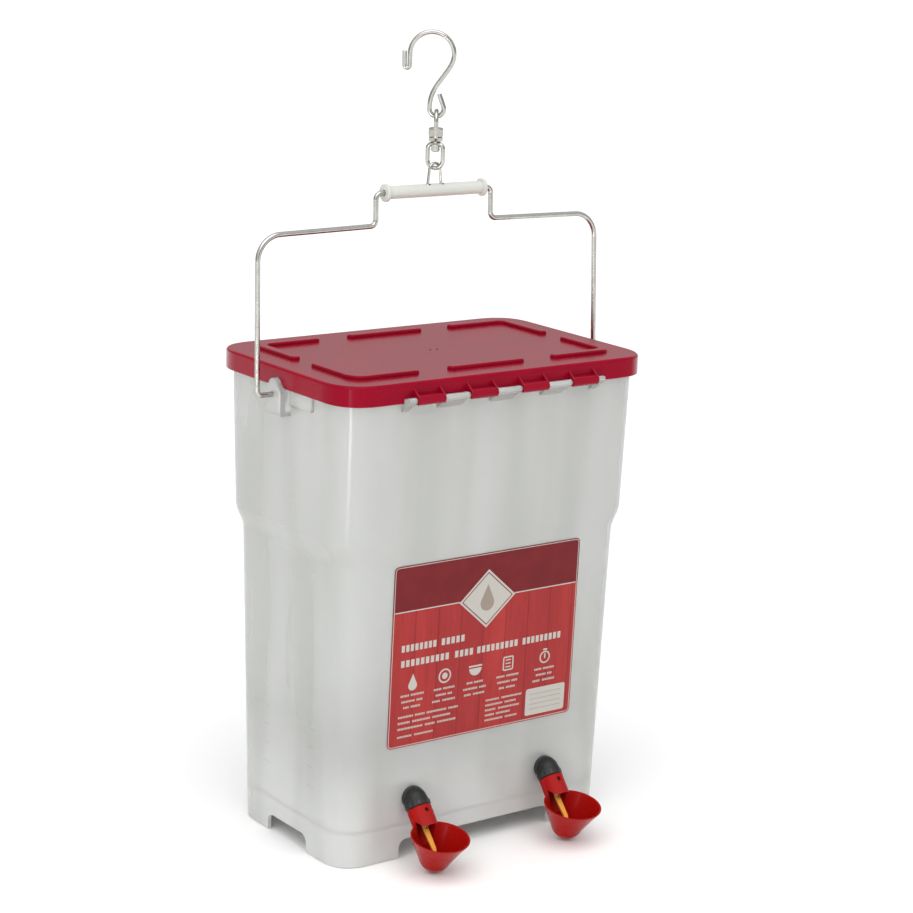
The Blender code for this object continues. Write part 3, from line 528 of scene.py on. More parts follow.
def moulded(name, colour, roughness, spread=0.08, grain=0.5 * MM, lift=0.02 * MM, wear=0.05, gloss=None,
    **plain):
    """Moulded plastic: faint flow clouds, fine grain, scuffs that catch the light, paler worn edges."""
    n = Nodes(name)
    clouds = n.noise(38 * MM, 4.0, 0.55)
    base = n.mix(n.ramp(clouds, 0.32, 0.68), tint(colour, 1 - spread), tint(colour, 1 + spread))
    scuffs = n.ramp(n.noise(5 * MM, 6.0, 0.7, (1, 1, 3)), 0.58, 0.76)
    base = n.mix(n.math("MULTIPLY", scuffs, wear), base, tuple(0.6 * c + 0.3 for c in colour))
    edges = n.ramp(n.node("ShaderNodeNewGeometry").outputs["Pointiness"], 0.53, 0.62, 0.0, wear * 2.5)
    base = n.mix(edges, base, tuple(0.55 * c + 0.4 for c in colour))
    rough = n.math("ADD", n.ramp(clouds, 0.3, 0.7, roughness * 0.85, roughness * 1.15),
        n.math("MULTIPLY", scuffs, 0.16))
    ripple = n.bump(n.noise(16 * MM, 2.0), lift * 4, 0.6)
    fine = n.bump(n.noise(grain, 2.0), lift, 0.5, ripple)
    if gloss is not None:
        facing = n.node("ShaderNodeLayerWeight")
        n.link(n.ramp(facing.outputs["Facing"], 0.45, 0.8, *gloss), n.shader.inputs["Specular IOR Level"])
    return n.finish(base, rough, fine, **plain)


def tank_plastic():
    """Milky polyethylene: light passes through it, softly blurred, with a faint moulded ripple. Painted light
    makes the low walls paler, and painted darker vertical panels stand in for reflections.
    """
    n = Nodes("tank_plastic")
    clouds = n.noise(75 * MM, 3.0, 0.5, (1, 1, 0.5))
    base = n.mix(n.ramp(clouds, 0.3, 0.7), (0.84, 0.846, 0.83), (0.88, 0.886, 0.87))
    z = n.axes()["Z"]
    # Painted light: the base colour turns paler towards the bottom to lift the shade under the tank; the same
    # mask also lowers the transmission there.
    painted_lift_low = n.ramp(z, FLOOR_UNDER, 0.3 * HEIGHT, 1.0, 0.0, True)
    base = n.mix(n.math("MULTIPLY", painted_lift_low, 0.5), base, (0.965, 0.97, 0.955))
    n.link(n.math("SUBTRACT", 0.7, n.math("MULTIPLY", painted_lift_low, 0.22)),
        n.shader.inputs["Transmission Weight"])
    # Painted reflection: broad vertical panels of darker colour stand in for dark reflected panels on the
    # walls.
    painted_panels = n.noise(46 * MM, 2.0, 0.45, (1, 1, 0.16))
    base = n.mix(n.ramp(painted_panels, 0.4, 0.72, 0.0, 0.5, True), base, (0.66, 0.67, 0.63))
    flow = n.noise(22 * MM, 4.0, 0.55, (1, 1, 0.25))
    base = n.mix(n.ramp(flow, 0.52, 0.8, 0.0, 0.05), base, (0.60, 0.60, 0.58))
    rough = n.ramp(flow, 0.3, 0.75, 0.17, 0.24)
    ripple = n.bump(n.noise(34 * MM, 1.0, 0.4, (1, 1, 0.7)), 0.10 * MM, 0.5)
    fine = n.bump(n.noise(0.9 * MM, 2.0), 0.006 * MM, 0.4, ripple)
    return n.finish(base, rough, fine, IOR=1.48, Specular_IOR_Level=0.5)


def steel_wire(name, roughness=0.2, grime=0.25):
    """Drawn and plated steel wire: fine draw lines, dull patches, a little dark grime, and painted shade that
    darkens the wire where it turns away from view.
    """
    n = Nodes(name)
    clouds = n.noise(7 * MM, 5.0, 0.6)
    lines = n.noise(0.45 * MM, 3.0, 0.6, (0.25, 1, 1))
    base = n.mix(n.ramp(clouds, 0.35, 0.7), (0.56, 0.555, 0.52), (0.47, 0.465, 0.43))
    # Painted shade: the base colour darkens towards the wire's outline as seen from the camera, standing in
    # for dark reflections.
    facing = n.node("ShaderNodeLayerWeight")
    facing.inputs["Blend"].default_value = 0.35
    base = n.mix(n.ramp(facing.outputs["Facing"], 0.3, 0.75, 0.0, 0.8), base, (0.12, 0.115, 0.105))
    base = n.mix(n.ramp(n.noise(3 * MM, 6.0, 0.7), 0.62, 0.78, 0.0, grime), base, (0.28, 0.25, 0.22))
    rough = n.math("ADD", n.ramp(clouds, 0.3, 0.75, roughness * 0.8, roughness * 1.5),
        n.ramp(lines, 0.4, 0.7, 0, 0.06))
    normal = n.bump(lines, 0.004 * MM, 0.4, n.bump(clouds, 0.02 * MM, 0.4))
    return n.finish(base, rough, normal, Metallic=1.0)


def rubber(name, colour):
    n = Nodes(name)
    dust = n.ramp(n.noise(2.5 * MM, 6.0, 0.65), 0.5, 0.8)
    base = n.mix(n.math("MULTIPLY", dust, 0.35), colour, tint(tuple(c + 0.08 for c in colour), 1.6))
    rough = n.ramp(dust, 0, 1, 0.6, 0.85)
    return n.finish(base, rough, n.bump(n.noise(0.35 * MM, 3.0), 0.03 * MM, 0.6))


def printed_planks():
    """The label's film: a plain dark band above, and boards with joints and grain below."""
    n = Nodes("label_film")
    x, _, z = n.axes()
    board = 21.75 * MM
    along = n.math("DIVIDE", n.math("ADD", x, LABEL_HALF - LABEL_X), board)
    number = n.math("FLOOR", along)
    place = n.math("FRACT", along)
    tone = n.node("ShaderNodeTexWhiteNoise", noise_dimensions="1D")
    n.link(number, tone.inputs["W"])
    grain = n.noise(2.2 * MM, 6.0, 0.65, (1, 1, 0.09))
    broad = n.noise(11 * MM, 3.0, 0.5, (1, 1, 0.12))
    wood = n.mix(n.ramp(broad, 0.3, 0.7), (0.35, 0.028, 0.026), (0.43, 0.038, 0.034))
    wood = n.mix(n.ramp(grain, 0.46, 0.72, 0, 0.4), wood, (0.24, 0.016, 0.018))
    wood = n.mix(n.ramp(tone.outputs["Value"], 0, 1, 0, 0.35), wood, (0.24, 0.014, 0.022))
    gap = n.math("GREATER_THAN", n.math("ABSOLUTE", n.math("SUBTRACT", place, 0.5)), 0.5 - 0.022)
    wood = n.mix(n.math("MULTIPLY", gap, 0.5), wood, (0.13, 0.010, 0.012))
    band = n.mix(n.ramp(n.noise(14 * MM, 3.0), 0.3, 0.7), (0.150, 0.009, 0.012), (0.180, 0.012, 0.015))
    base = n.mix(n.math("GREATER_THAN", z, LABEL_BAND_Z), wood, band)
    rough = n.ramp(n.noise(6 * MM, 4.0), 0.3, 0.7, 0.30, 0.42)
    normal = n.bump(n.noise(1.1 * MM, 2.0), 0.01 * MM, 0.4, n.bump(n.noise(30 * MM, 1.0), 0.2 * MM, 0.4))
    return n.finish(base, rough, normal, Specular_IOR_Level=0.2)


def ink(name, colour):
    n = Nodes(name)
    dots = n.ramp(n.noise(0.6 * MM, 3.0), 0.4, 0.75)
    base = n.mix(n.math("MULTIPLY", dots, 0.22), colour, tint(colour, 0.8))
    base = n.mix(n.ramp(n.noise(9 * MM, 4.0), 0.5, 0.8, 0, 0.12), base, tint(colour, 0.7))
    rough = n.ramp(dots, 0, 1, 0.34, 0.46)
    return n.finish(base, rough, n.bump(dots, 0.006 * MM, 0.5))


LABEL_BAND_Z = LABEL_LOW + 0.75 * (LABEL_HIGH - LABEL_LOW)

TANK = tank_plastic()
LID_RED = moulded("lid_red", (0.28, 0.003, 0.018), 0.22, spread=0.05, wear=0.02, gloss=(0.06, 0.9))
CUP_RED = moulded("cup_red", (0.34, 0.005, 0.004), 0.24, spread=0.06, wear=0.02, gloss=(0.06, 0.2))
STEEL = steel_wire("bright_steel")
CHAIN = steel_wire("swivel_steel", 0.16, 0.35)
WHITE = moulded("white_plastic", (0.64, 0.65, 0.60), 0.35, spread=0.03, wear=0.02)
BLACK = moulded("black_plastic", (0.012, 0.013, 0.012), 0.36, 0.15, 0.35 * MM, wear=0.03,
    Specular_IOR_Level=0.3)
PALE_NUT = moulded("nut_plastic", (0.10, 0.13, 0.12), 0.4, spread=0.12, wear=0.03)
YELLOW = moulded("yellow_plastic", (0.84, 0.36, 0.035), 0.3, spread=0.06, wear=0.04)
SEAL = rubber("seal_rubber", (0.035, 0.035, 0.036))
SEAT = rubber("seat_rubber", (0.40, 0.37, 0.33))
FILM = printed_planks()
CREAM = ink("ink_cream", (0.50, 0.475, 0.43))
MAROON = ink("ink_maroon", (0.17, 0.012, 0.022))
TAUPE = ink("ink_taupe", (0.30, 0.24, 0.19))
GREY = ink("ink_grey", (0.33, 0.31, 0.28))


# ---------------------------------------------------------------- tank

CORNER_STEPS = 16


def plan_ring(half_x, half_y, corner, z):
    """A rectangle in plan whose corners are quarter superellipses."""
    power = 2 / CORNER_SQUARENESS
    ring = []
    for quarter in range(4):
        turn = quarter * math.pi / 2
        cx = (half_x - corner) * (1 if quarter in (0, 3) else -1)
        cy = (half_y - corner) * (1 if quarter in (0, 1) else -1)
        for k in range(CORNER_STEPS + 1):
            a = turn + math.pi / 2 * k / CORNER_STEPS
            c, s = math.cos(a), math.sin(a)
            dx = math.copysign(abs(c) ** power, c) if abs(c) > 1e-9 else 0
            dy = math.copysign(abs(s) ** power, s) if abs(s) > 1e-9 else 0
            ring.append(Vector((cx + corner * dx, cy + corner * dy + TANK_Y, z)))
    return ring


def wall_inset(z, axis):
    """Inset of the tank's outside from the lid's outline at a height: axis 0 along X, 1 along Y."""
    if z <= STEP_LOW:
        a, b, t = FOOT_INSET[axis], STEP_LOW_INSET[axis], max(z, 0) / STEP_LOW
    elif z <= STEP_HIGH:
        a, b = STEP_LOW_INSET[axis], STEP_HIGH_INSET[axis]
        t = (1 - math.cos(math.pi * (z - STEP_LOW) / (STEP_HIGH - STEP_LOW))) / 2
    else:
        a, b, t = STEP_HIGH_INSET[axis], RIM_INSET, (z - STEP_HIGH) / (RIM_TOP - STEP_HIGH)
    return a + (b - a) * t


def tank_ring(z, inset):
    half_x = LID_LENGTH / 2 - wall_inset(z, 0) - inset
    half_y = LID_DEPTH / 2 - wall_inset(z, 1) - inset
    return plan_ring(half_x, half_y, CORNER - RIM_INSET - inset, z)


def foot_arch(half, top):
    low = -5 * MM
    r = FOOT_ARCH_ROUND
    right = arc((half - r, top - r), r, 0, 90, 10)
    left = [(-x, z) for x, z in reversed(right)]
    return [(half, low)] + right + left + [(-half, low)]


def boss_outline(extra=0.0):
    """End view of a bail boss, as (y, distance below the lid's top)."""
    top_r = 6 * MM + extra
    shoulder = [(BOSS_HALF + extra, BOSS_LOW), (BOSS_HALF + extra, 17.5 * MM)]
    crown = [(x, -z) for x, z in arc((0, -(BOSS_TOP + 6 * MM)), top_r, 20, 160, 20)]
    return shoulder + crown + [(-y, d) for y, d in reversed(shoulder)]


def clip_centres():
    return [(k - (CLIP_COUNT - 1) / 2) * CLIP_PITCH for k in range(CLIP_COUNT)]


def knuckle_spans():
    reach = CLIP_WIDTH / 2 + 2 * GAP
    centres = clip_centres()
    spans = [(-HINGE_HALF + 1 * MM, centres[0] - reach)]
    for a, b in zip(centres, centres[1:]):
        spans.append((a + reach, b - reach))
    spans.append((centres[-1] + reach, HINGE_HALF - 1 * MM))
    return spans


def knuckle(span):
    """A rounded lug that reaches out under the lid's edge to carry the hinge rod."""
    wall = LID_DEPTH / 2 - RIM_INSET - 2 * MM
    shelf = -HINGE_SKIRT - GAP
    out = TANK_Y - HINGE.y
    drop = HEIGHT - HINGE.z
    nose = arc((-out, -drop), 2.5 * MM, 45, 225, 16)
    outline = [(-wall, shelf), (-LID_DEPTH / 2 - 1 * MM, shelf)] + nose + [(-wall, -drop - 11 * MM)]
    place = lambda a, b, d: Vector((d, a + TANK_Y, b + HEIGHT))
    return soft_prism(outline, place, span[0], span[1], 0.5 * MM, 2, both=True)


def wall_point(x):
    """Where a drinker's stem meets the outside of the front wall."""
    return elbow(x) - WALL_OUT * ELBOW_OUT


def elbow(x):
    return Vector((x, DRINKER.y, DRINKER.z))






def end_wall_x(z):
    return LID_LENGTH / 2 - wall_inset(z, 0)


def graduations():
    """Faint raised level marks in two columns on the left end wall."""
    marks = []
    first, last, count = 58 * MM, 232 * MM, 12
    for column, width in ((-34 * MM, 11 * MM), (30 * MM, 11 * MM)):
        for k in range(count):
            z = first + (last - first) * k / (count - 1)
            half = width / 2 if k % 3 == 0 else width / 3.2
            outline = rounded_rectangle(half, 0.45 * MM, 0.4 * MM, 3, (column, 0))
            lean = (wall_inset(0, 0) - wall_inset(STEP_LOW, 0)) / STEP_LOW
            place = lambda a, b, d, z=z: Vector((-(end_wall_x(z) + lean * b + d), a + TANK_Y, z + b))
            marks.append(soft_prism(outline, place, -0.3 * MM, 0.22 * MM, 0.12 * MM, 2))
    return marks


def build_tank():
    profile = [(12 * MM, FLOOR_UNDER), (SKIRT_WALL, FLOOR_UNDER), (SKIRT_WALL, 0), (0, 0)]
    radii = [2 * MM, 1 * MM, 1.4 * MM]
    steps = 10
    heights = [60 * MM, 120 * MM, 180 * MM]
    heights += [STEP_LOW + (STEP_HIGH - STEP_LOW) * k / steps for k in range(steps + 1)]
    heights += [300 * MM, 340 * MM]
    profile += [(0, z) for z in heights] + [(0, RIM_TOP), (TANK_WALL, RIM_TOP)]
    radii += [0] * len(heights) + [0.8 * MM, 0.8 * MM]
    profile += [(TANK_WALL, z) for z in reversed(heights)] + [(TANK_WALL, FLOOR_TOP), (14 * MM, FLOOR_TOP)]
    radii += [0] * len(heights) + [5 * MM]
    path = filleted([(i, z, 0) for i, z in profile], radii, math.radians(18))
    tank = loft([tank_ring(p.y, p.x) for p in path])
    deep, wide = LID_DEPTH / 2, LID_LENGTH / 2
    arch = foot_arch(FOOT_ARCH_X / 2, FOOT_ARCH_HIGH)
    cut(tank, prism(arch, lambda a, b, d: Vector((a, d + TANK_Y, b)), (-deep, deep)))
    arch = foot_arch(FOOT_ARCH_Y / 2, FOOT_ARCH_LOW)
    cut(tank, prism(arch, lambda a, b, d: Vector((d, a + TANK_Y, b)), (-wide, wide)))
    for side in (-1, 1):
        half_high = (RIM_TOP - 1 * MM - (HEIGHT - PAD_LOW)) / 2
        pad = rounded_rectangle(PAD_HALF, half_high, 3.5 * MM, 6, (0, HEIGHT - PAD_LOW + half_high))
        place = lambda a, b, d: Vector((side * d, a + TANK_Y, b))
        add(tank, soft_prism(pad, place, PAD_OUT - 4 * MM, PAD_OUT, 1.2 * MM))
        boss = lambda a, b, d: Vector((side * d, a + TANK_Y, HEIGHT - b))
        add(tank, soft_prism(boss_outline(), boss, LID_LENGTH / 2 - 6.5 * MM, BOSS_OUT, 1.2 * MM))
        centre = (0, TANK_Y, HEIGHT - BAIL_DROP)
        reach = sorted((side * BAIL_HOLE_END, side * (BOSS_OUT + 2 * MM)))
        cut(tank, rod(centre, (1, 0, 0), reach[0], reach[1], WIRE_R + GAP, 32))
    spans = knuckle_spans()
    for span in spans:
        add(tank, knuckle(span))
    ends = (spans[0][0] + 1 * MM, spans[-1][1] - 1 * MM)
    add(tank, rod(HINGE - Vector((HINGE.x, 0, 0)), (1, 0, 0), ends[0], ends[1], HINGE_ROD_R, 32))
    for mark in graduations():
        add(tank, mark)
    for x in (-DRINKER_X, DRINKER_X):
        cut(tank, rod(wall_point(x), WALL_OUT, -6 * MM, 4 * MM, STEM_R + GAP, 48))
    piece(tank, "tank_shell", TANK, "fount", ("tank",), 30)
    return tank


# ---------------------------------------------------------------- lid


def stadium(path, width):
    """Outline of a bar of constant width with round ends, along a flat path."""
    path = [Vector((x, y)) for x, y in path]
    half = width / 2
    left, right = [], []
    for k, point in enumerate(path):
        before = path[max(k - 1, 0)]
        after = path[min(k + 1, len(path) - 1)]
        run = (after - before).normalized()
        side = Vector((-run.y, run.x)) * half
        left.append(point + side)
        right.append(point - side)

    def cap(end, inner):
        run = (end - inner).normalized()
        start = math.degrees(math.atan2(run.x, -run.y))
        return arc(end, half, start, start - 180, 14)[1:-1]

    outline = [tuple(p) for p in left]
    outline += cap(path[-1], path[-2])
    outline += [tuple(p) for p in reversed(right)]
    return outline + cap(path[0], path[1])


def rib(path):
    outline = stadium(path, RIB_WIDTH)
    place = lambda a, b, d: Vector((a, b + TANK_Y, d))
    return soft_prism(outline, place, HEIGHT - 0.5 * MM, HEIGHT + RIB_HEIGHT, 1.7 * MM, 5)


def rib_paths():
    paths = []
    for sy in (-1, 1):
        paths.append([(-RIB_MID_HALF, sy * RIB_LINE_Y), (RIB_MID_HALF, sy * RIB_LINE_Y)])
        for sx in (-1, 1):
            run = (
                (sx * RIB_CORNER_FROM_X, sy * RIB_LINE_Y, 0),
                (sx * RIB_LINE_X, sy * RIB_LINE_Y, 0),
                (sx * RIB_LINE_X, sy * RIB_CORNER_FROM_Y, 0),
            )
            paths.append([(p.x, p.y) for p in filleted(run, (RIB_ROUND,))])
    return paths


def clip(x):
    """One hinge clip: a lip out of the skirt that curls over the hinge rod, with a gusset at each side."""
    start, end = x - CLIP_WIDTH / 2, x + CLIP_WIDTH / 2
    skirt = TANK_Y - LID_DEPTH / 2
    round_nose = arc((HINGE.y, HINGE.z), CLIP_OUTER_R, 90, 360, 40)
    outline = [(skirt + 1 * MM, HINGE.z + CLIP_OUTER_R - 2 * MM),
        (skirt + 1 * MM, HINGE.z + CLIP_OUTER_R)] + round_nose
    outline += [(HINGE.y + CLIP_OUTER_R, HINGE.z + CLIP_OUTER_R - 2 * MM)]
    place = lambda a, b, d: Vector((d, a, b))
    body = soft_prism(outline, place, start, end, 0.35 * MM, 2, both=True)
    nose = HINGE.y - CLIP_OUTER_R * 0.8
    top = HINGE.z + CLIP_OUTER_R
    for low, high in ((start, start + GUSSET_THICK), (end - GUSSET_THICK, end)):
        corners = ((skirt + 1 * MM, HEIGHT - GUSSET_TOP), (nose, top - 1 * MM),
            (skirt + 1 * MM, top - 2 * MM))
        add(body, soft_prism(list(corners), place, low + 0.02 * MM, high - 0.02 * MM, 0.3 * MM, 2, both=True))
    return body


def clip_bore(x):
    """The channel for the rod, open below through a mouth a little narrower than the rod."""
    start, end = x - CLIP_WIDTH / 2 - 1 * MM, x + CLIP_WIDTH / 2 + 1 * MM
    mouth = HINGE_ROD_R - 0.15 * MM
    low = HINGE.z - CLIP_OUTER_R - 2 * MM
    turn = math.degrees(math.asin(mouth / CLIP_INNER_R))
    outline = arc((HINGE.y, HINGE.z), CLIP_INNER_R, -90 + turn, 270 - turn, 40)
    outline += [(HINGE.y - mouth, low), (HINGE.y + mouth, low)]
    return prism(outline, lambda a, b, d: Vector((d, a, b)), (start, end))


def lid_ring(z, inset):
    return plan_ring(LID_LENGTH / 2 - inset, LID_DEPTH / 2 - inset, CORNER - inset, z)


def build_lid():
    wall = 2 * MM
    low = HEIGHT - SKIRT
    profile = [
        (16 * MM, HEIGHT - PLATE),
        (wall, HEIGHT - PLATE),
        (wall, low),
        (0, low),
        (0, HEIGHT),
        (16 * MM, HEIGHT),
    ]
    radii = (1.2 * MM, 0.6 * MM, 0.7 * MM, 2.5 * MM)
    path = filleted([(i, z, 0) for i, z in profile], radii, math.radians(12))
    lid = loft([lid_ring(p.y, p.x) for p in path])
    for path in rib_paths():
        add(lid, rib(path))
    for x in (-3.2 * MM, 3.2 * MM):
        dot = ((-0.5 * MM, 1.0 * MM), (0.2 * MM, 1.0 * MM), (0.45 * MM, 0.7 * MM), (0.5 * MM, 0.2 * MM))
        add(lid, turned((x, TANK_Y, HEIGHT), (0, 0, 1), dot, 24))
    for side in (-1, 1):
        place = lambda a, b, d: Vector((side * d, a + TANK_Y, HEIGHT - b))
        cut(lid, prism(boss_outline(0.6 * MM), place, (LID_LENGTH / 2 - 6 * MM, LID_LENGTH / 2 + 6 * MM)))
    front = TANK_Y - LID_DEPTH / 2
    top = HEIGHT - HINGE_SKIRT
    cut(lid, box((-HINGE_HALF, front - 2 * MM, low - 2 * MM), (HINGE_HALF, front + 4 * MM, top)))
    for x in clip_centres():
        add(lid, clip(x))
    for x in clip_centres():
        cut(lid, clip_bore(x))
    return piece(lid, "lid_shell", LID_RED, "lid", ("lid",), 28)


# ---------------------------------------------------------------- label


def label_at(a, b, d):
    """A point on the label: a to the right of its middle, b up from its middle, d out from the wall."""
    middle = (LABEL_LOW + LABEL_HIGH) / 2
    wall = Vector((0, TANK_Y - (LID_DEPTH / 2 - wall_inset(middle, 1)), middle))
    return wall + Vector((a + LABEL_X, 0, 0)) + WALL_UP * b + WALL_OUT * d


def share(u, v):
    """Label coordinates from shares of its width and height, counted from the lower left corner."""
    return (2 * u - 1) * LABEL_HALF, (2 * v - 1) * LABEL_V


LABEL_V = (LABEL_HIGH - LABEL_LOW) / 2
FILM_TOP = GAP + LABEL_FILM


def print_plate(outline, layer=0):
    low = FILM_TOP - 0.02 * MM + layer * PRINT_THICK / 2
    return prism(outline, label_at, (low, low + 0.02 * MM + PRINT_THICK / 2 + 0.005 * MM))


def bar(u0, u1, v, height, layer=0):
    a0, b = share(u0, v)
    a1, _ = share(u1, v)
    radius = min(height * 0.35, 1 * MM)
    return print_plate(rounded_rectangle((a1 - a0) / 2, height / 2, radius, 3, ((a0 + a1) / 2, b)), layer)


def blocks(u0, u1, v, height):
    """A run of small plain blocks, in place of a printed word."""
    a0, b = share(u0, v)
    a1, _ = share(u1, v)
    count = max(2, round((a1 - a0) / (0.82 * height)))
    step = (a1 - a0) / count
    half = 0.34 * step
    made = []
    for k in range(count):
        a = a0 + (k + 0.5) * step
        made.append(print_plate([(a - half, b - height / 2), (a + half, b - height / 2),
            (a + half, b + height / 2),
                                 (a - half, b + height / 2)]))
    return made


def words(u0, u1, v, height, pieces):
    """A line of block runs with gaps between them."""
    total = sum(pieces) + 0.35 * (len(pieces) - 1)
    made, at = [], u0
    for part in pieces:
        span = (u1 - u0) * part / total
        made += blocks(at, at + span, v, height)
        at += span + (u1 - u0) * 0.35 / total
    return made


def ring_plate(outline, width, layer=0):
    """A line of constant width along a closed outline."""
    low = FILM_TOP - 0.02 * MM + layer * PRINT_THICK / 2
    high = low + 0.02 * MM + PRINT_THICK / 2
    inner = inset_outline(outline, width)
    rings = []
    for (a, b), (c, d) in zip(outline, inner):
        rings.append([label_at(a, b, low), label_at(a, b, high), label_at(c, d, high), label_at(c, d, low)])
    return loft(rings, closed=True)


def drop(centre, size):
    """A drop of water, point upwards."""
    r = size * 0.3
    base = arc((centre[0], centre[1] - size * 0.2), r, -215, 35, 24)
    return base + [(centre[0], centre[1] + size * 0.5)]


def diamond(centre, half_a, half_b):
    a, b = centre
    return [(a + half_a, b), (a, b + half_b), (a - half_a, b), (a, b - half_b)]


def build_label():
    film = prism(rounded_rectangle(LABEL_HALF, LABEL_V, LABEL_ROUND, 8), label_at, (GAP, FILM_TOP))
    piece(film, "label_film_sheet", FILM, "fount", ("label",))
    cream, maroon, taupe, grey = [], [], [], []
    border = rounded_rectangle(LABEL_HALF - 0.8 * MM, LABEL_V - 0.8 * MM, LABEL_ROUND - 0.8 * MM, 8)
    cream.append(ring_plate(border, 0.55 * MM))
    for u0, u1 in ((0.01, 0.352), (0.648, 0.99)):
        cream.append(bar(u0, u1, 0.75, 0.9 * MM))
    emblem = share(0.5, 0.745)
    cream.append(print_plate(diamond(emblem, 27 * MM, 24 * MM)))
    maroon.append(ring_plate(diamond(emblem, 24.6 * MM, 21.8 * MM), 0.8 * MM, 1))
    taupe.append(print_plate(drop((emblem[0], emblem[1] + 1 * MM), 22 * MM), 1))
    heading = 5.5 * MM
    cream += words(0.05, 0.39, 0.548, heading, (3.2, 2.2))
    for u0, u1 in ((0.05, 0.31), (0.335, 0.44), (0.455, 0.685), (0.705, 0.925)):
        cream += blocks(u0, u1, 0.464, heading)
    for number, u in enumerate((0.12, 0.29, 0.455, 0.635, 0.84)):
        a, b = share(u, 0.355)
        size = 13 * MM
        if number == 0:
            cream.append(print_plate(drop((a, b), size * 1.05)))
        elif number == 1:
            cream.append(ring_plate(arc((a, b), size * 0.46, 0, 350, 35), 1.3 * MM))
            cream.append(print_plate(arc((a, b), size * 0.2, 0, 350, 24)))
        elif number == 2:
            bowl = arc((a, b + size * 0.1), size * 0.46, 180, 360, 20)
            cream.append(print_plate(bowl))
            cream.append(print_plate(rounded_rectangle(size * 0.5, 0.7 * MM, 0.6 * MM, 3,
                (a, b + size * 0.24))))
        elif number == 3:
            cream.append(ring_plate(rounded_rectangle(size * 0.4, size * 0.46, 1.5 * MM, 4, (a, b)),
                1.2 * MM))
            for k in range(3):
                line = (a, b - size * 0.22 + k * size * 0.22)
                cream.append(print_plate(rounded_rectangle(size * 0.2, 0.5 * MM, 0.4 * MM, 2, line)))
        else:
            cream.append(ring_plate(arc((a, b - size * 0.06), size * 0.4, 0, 350, 35), 1.2 * MM))
            cream.append(print_plate(rounded_rectangle(0.7 * MM, size * 0.16, 0.6 * MM, 3,
                (a, b + size * 0.02))))
            cream.append(print_plate(rounded_rectangle(size * 0.16, 0.7 * MM, 0.6 * MM, 3,
                (a, b + size * 0.44))))
        for row, (v, parts) in enumerate(((0.285, (2, 3)), (0.252, (3, 1.4)), (0.219, (1.2, 2)))):
            half = (0.062, 0.056, 0.045)[(row + number) % 3]
            cream += words(u - half, u + half, v, 1.7 * MM, parts)
    for v, end, parts in ((0.168, 0.37, (3, 2, 4, 2)), (0.135, 0.33, (2, 3, 3)), (0.102, 0.36, (4, 1.6, 3))):
        cream += words(0.05, end, v, 1.7 * MM, parts)
    cream += words(0.05, 0.24, 0.058, 1.6 * MM, (2, 2.6))
    for row in range(5):
        v = 0.165 - row * 0.0285
        cream += words(0.52, (0.72, 0.69, 0.71, 0.66, 0.70)[row], v, 1.6 * MM,
            ((2, 3), (3, 2), (1.5, 3))[row % 3])
    low, high = share(0.745, 0.027), share(0.965, 0.18)
    centre = ((low[0] + high[0]) / 2, (low[1] + high[1]) / 2)
    panel = rounded_rectangle((high[0] - low[0]) / 2, (high[1] - low[1]) / 2, 2 * MM, 5, centre)
    cream.append(print_plate(panel))
    for row in range(4):
        a, b = centre[0], centre[1] + (1.5 - row) * 4.2 * MM
        rule = rounded_rectangle((high[0] - low[0]) * 0.4, 0.3 * MM, 0.25 * MM, 2, (a, b))
        grey.append(print_plate(rule, 1))
    piece(join("print", cream), "label_print_cream", CREAM, "fount")
    piece(join("print", maroon), "label_print_maroon", MAROON, "fount")
    piece(join("print", taupe), "label_print_taupe", TAUPE, "fount")
    piece(join("print", grey), "label_print_grey", GREY, "fount")


# ---------------------------------------------------------------- bail, grip and hanger


def bail_point(x, along):
    up = Vector((0, math.sin(BAIL_LEAN), math.cos(BAIL_LEAN)))
    return Vector((x, TANK_Y, HEIGHT - BAIL_DROP)) + up * along


GRIP_CENTRE = bail_point(0, BAIL_GRIP)


def build_bail():
    right = (
        bail_point(BAIL_HOLE_END + 1 * MM, 0),
        bail_point(BAIL_FOOT_X, 0),
        bail_point(BAIL_SHOULDER_X, BAIL_SHOULDER_OUT),
        bail_point(BAIL_RISER_X, BAIL_SHOULDER_IN),
        bail_point(BAIL_RISER_X, BAIL_GRIP),
    )
    left = tuple(Vector((-p.x, p.y, p.z)) for p in reversed(right))
    bends = (4.5 * MM, 20 * MM, 5 * MM, 5 * MM)
    wire = tube(filleted(right + left, bends + tuple(reversed(bends))), WIRE_R, 24, ends=0.4 * MM)
    return piece(wire, "bail_wire", STEEL, "bail", ("bail",))


def build_grip():
    end, flange = GRIP_HALF, GRIP_HALF - GRIP_FLANGE
    bore = WIRE_R + 0.4 * MM
    pocket, pocket_r = HANGER_HALF + 2.2 * MM, HANGER_HOOK_R + HANGER_R + 0.15 * MM
    corners = [
        (-end, bore),
        (-end, GRIP_FLANGE_R),
        (-flange, GRIP_FLANGE_R),
        (-flange, GRIP_R),
        (flange, GRIP_R),
        (flange, GRIP_FLANGE_R),
        (end, GRIP_FLANGE_R),
        (end, bore),
        (pocket, bore),
        (pocket, pocket_r),
        (-pocket, pocket_r),
        (-pocket, bore),
    ]
    radii = [0.9 * MM, 0.9 * MM, 0.5 * MM, 0.5 * MM, 0.9 * MM, 0.9 * MM] + [0] * 4
    profile = [(p.x, p.y) for p in filleted([(s, r, 0) for s, r in corners], radii, math.radians(18))]
    grip = turned(GRIP_CENTRE, (1, 0, 0), profile, 64, closed=True)
    for x in (-HANGER_HALF, HANGER_HALF):
        hole = GRIP_CENTRE + Vector((x, -0.5 * MM, 0))
        cut(grip, rod(hole, (0, 0, 1), 0, GRIP_R + 2 * MM, HANGER_R + 1.2 * MM, 32))
    return piece(grip, "grip_sleeve", WHITE, "grip", ("grip",))


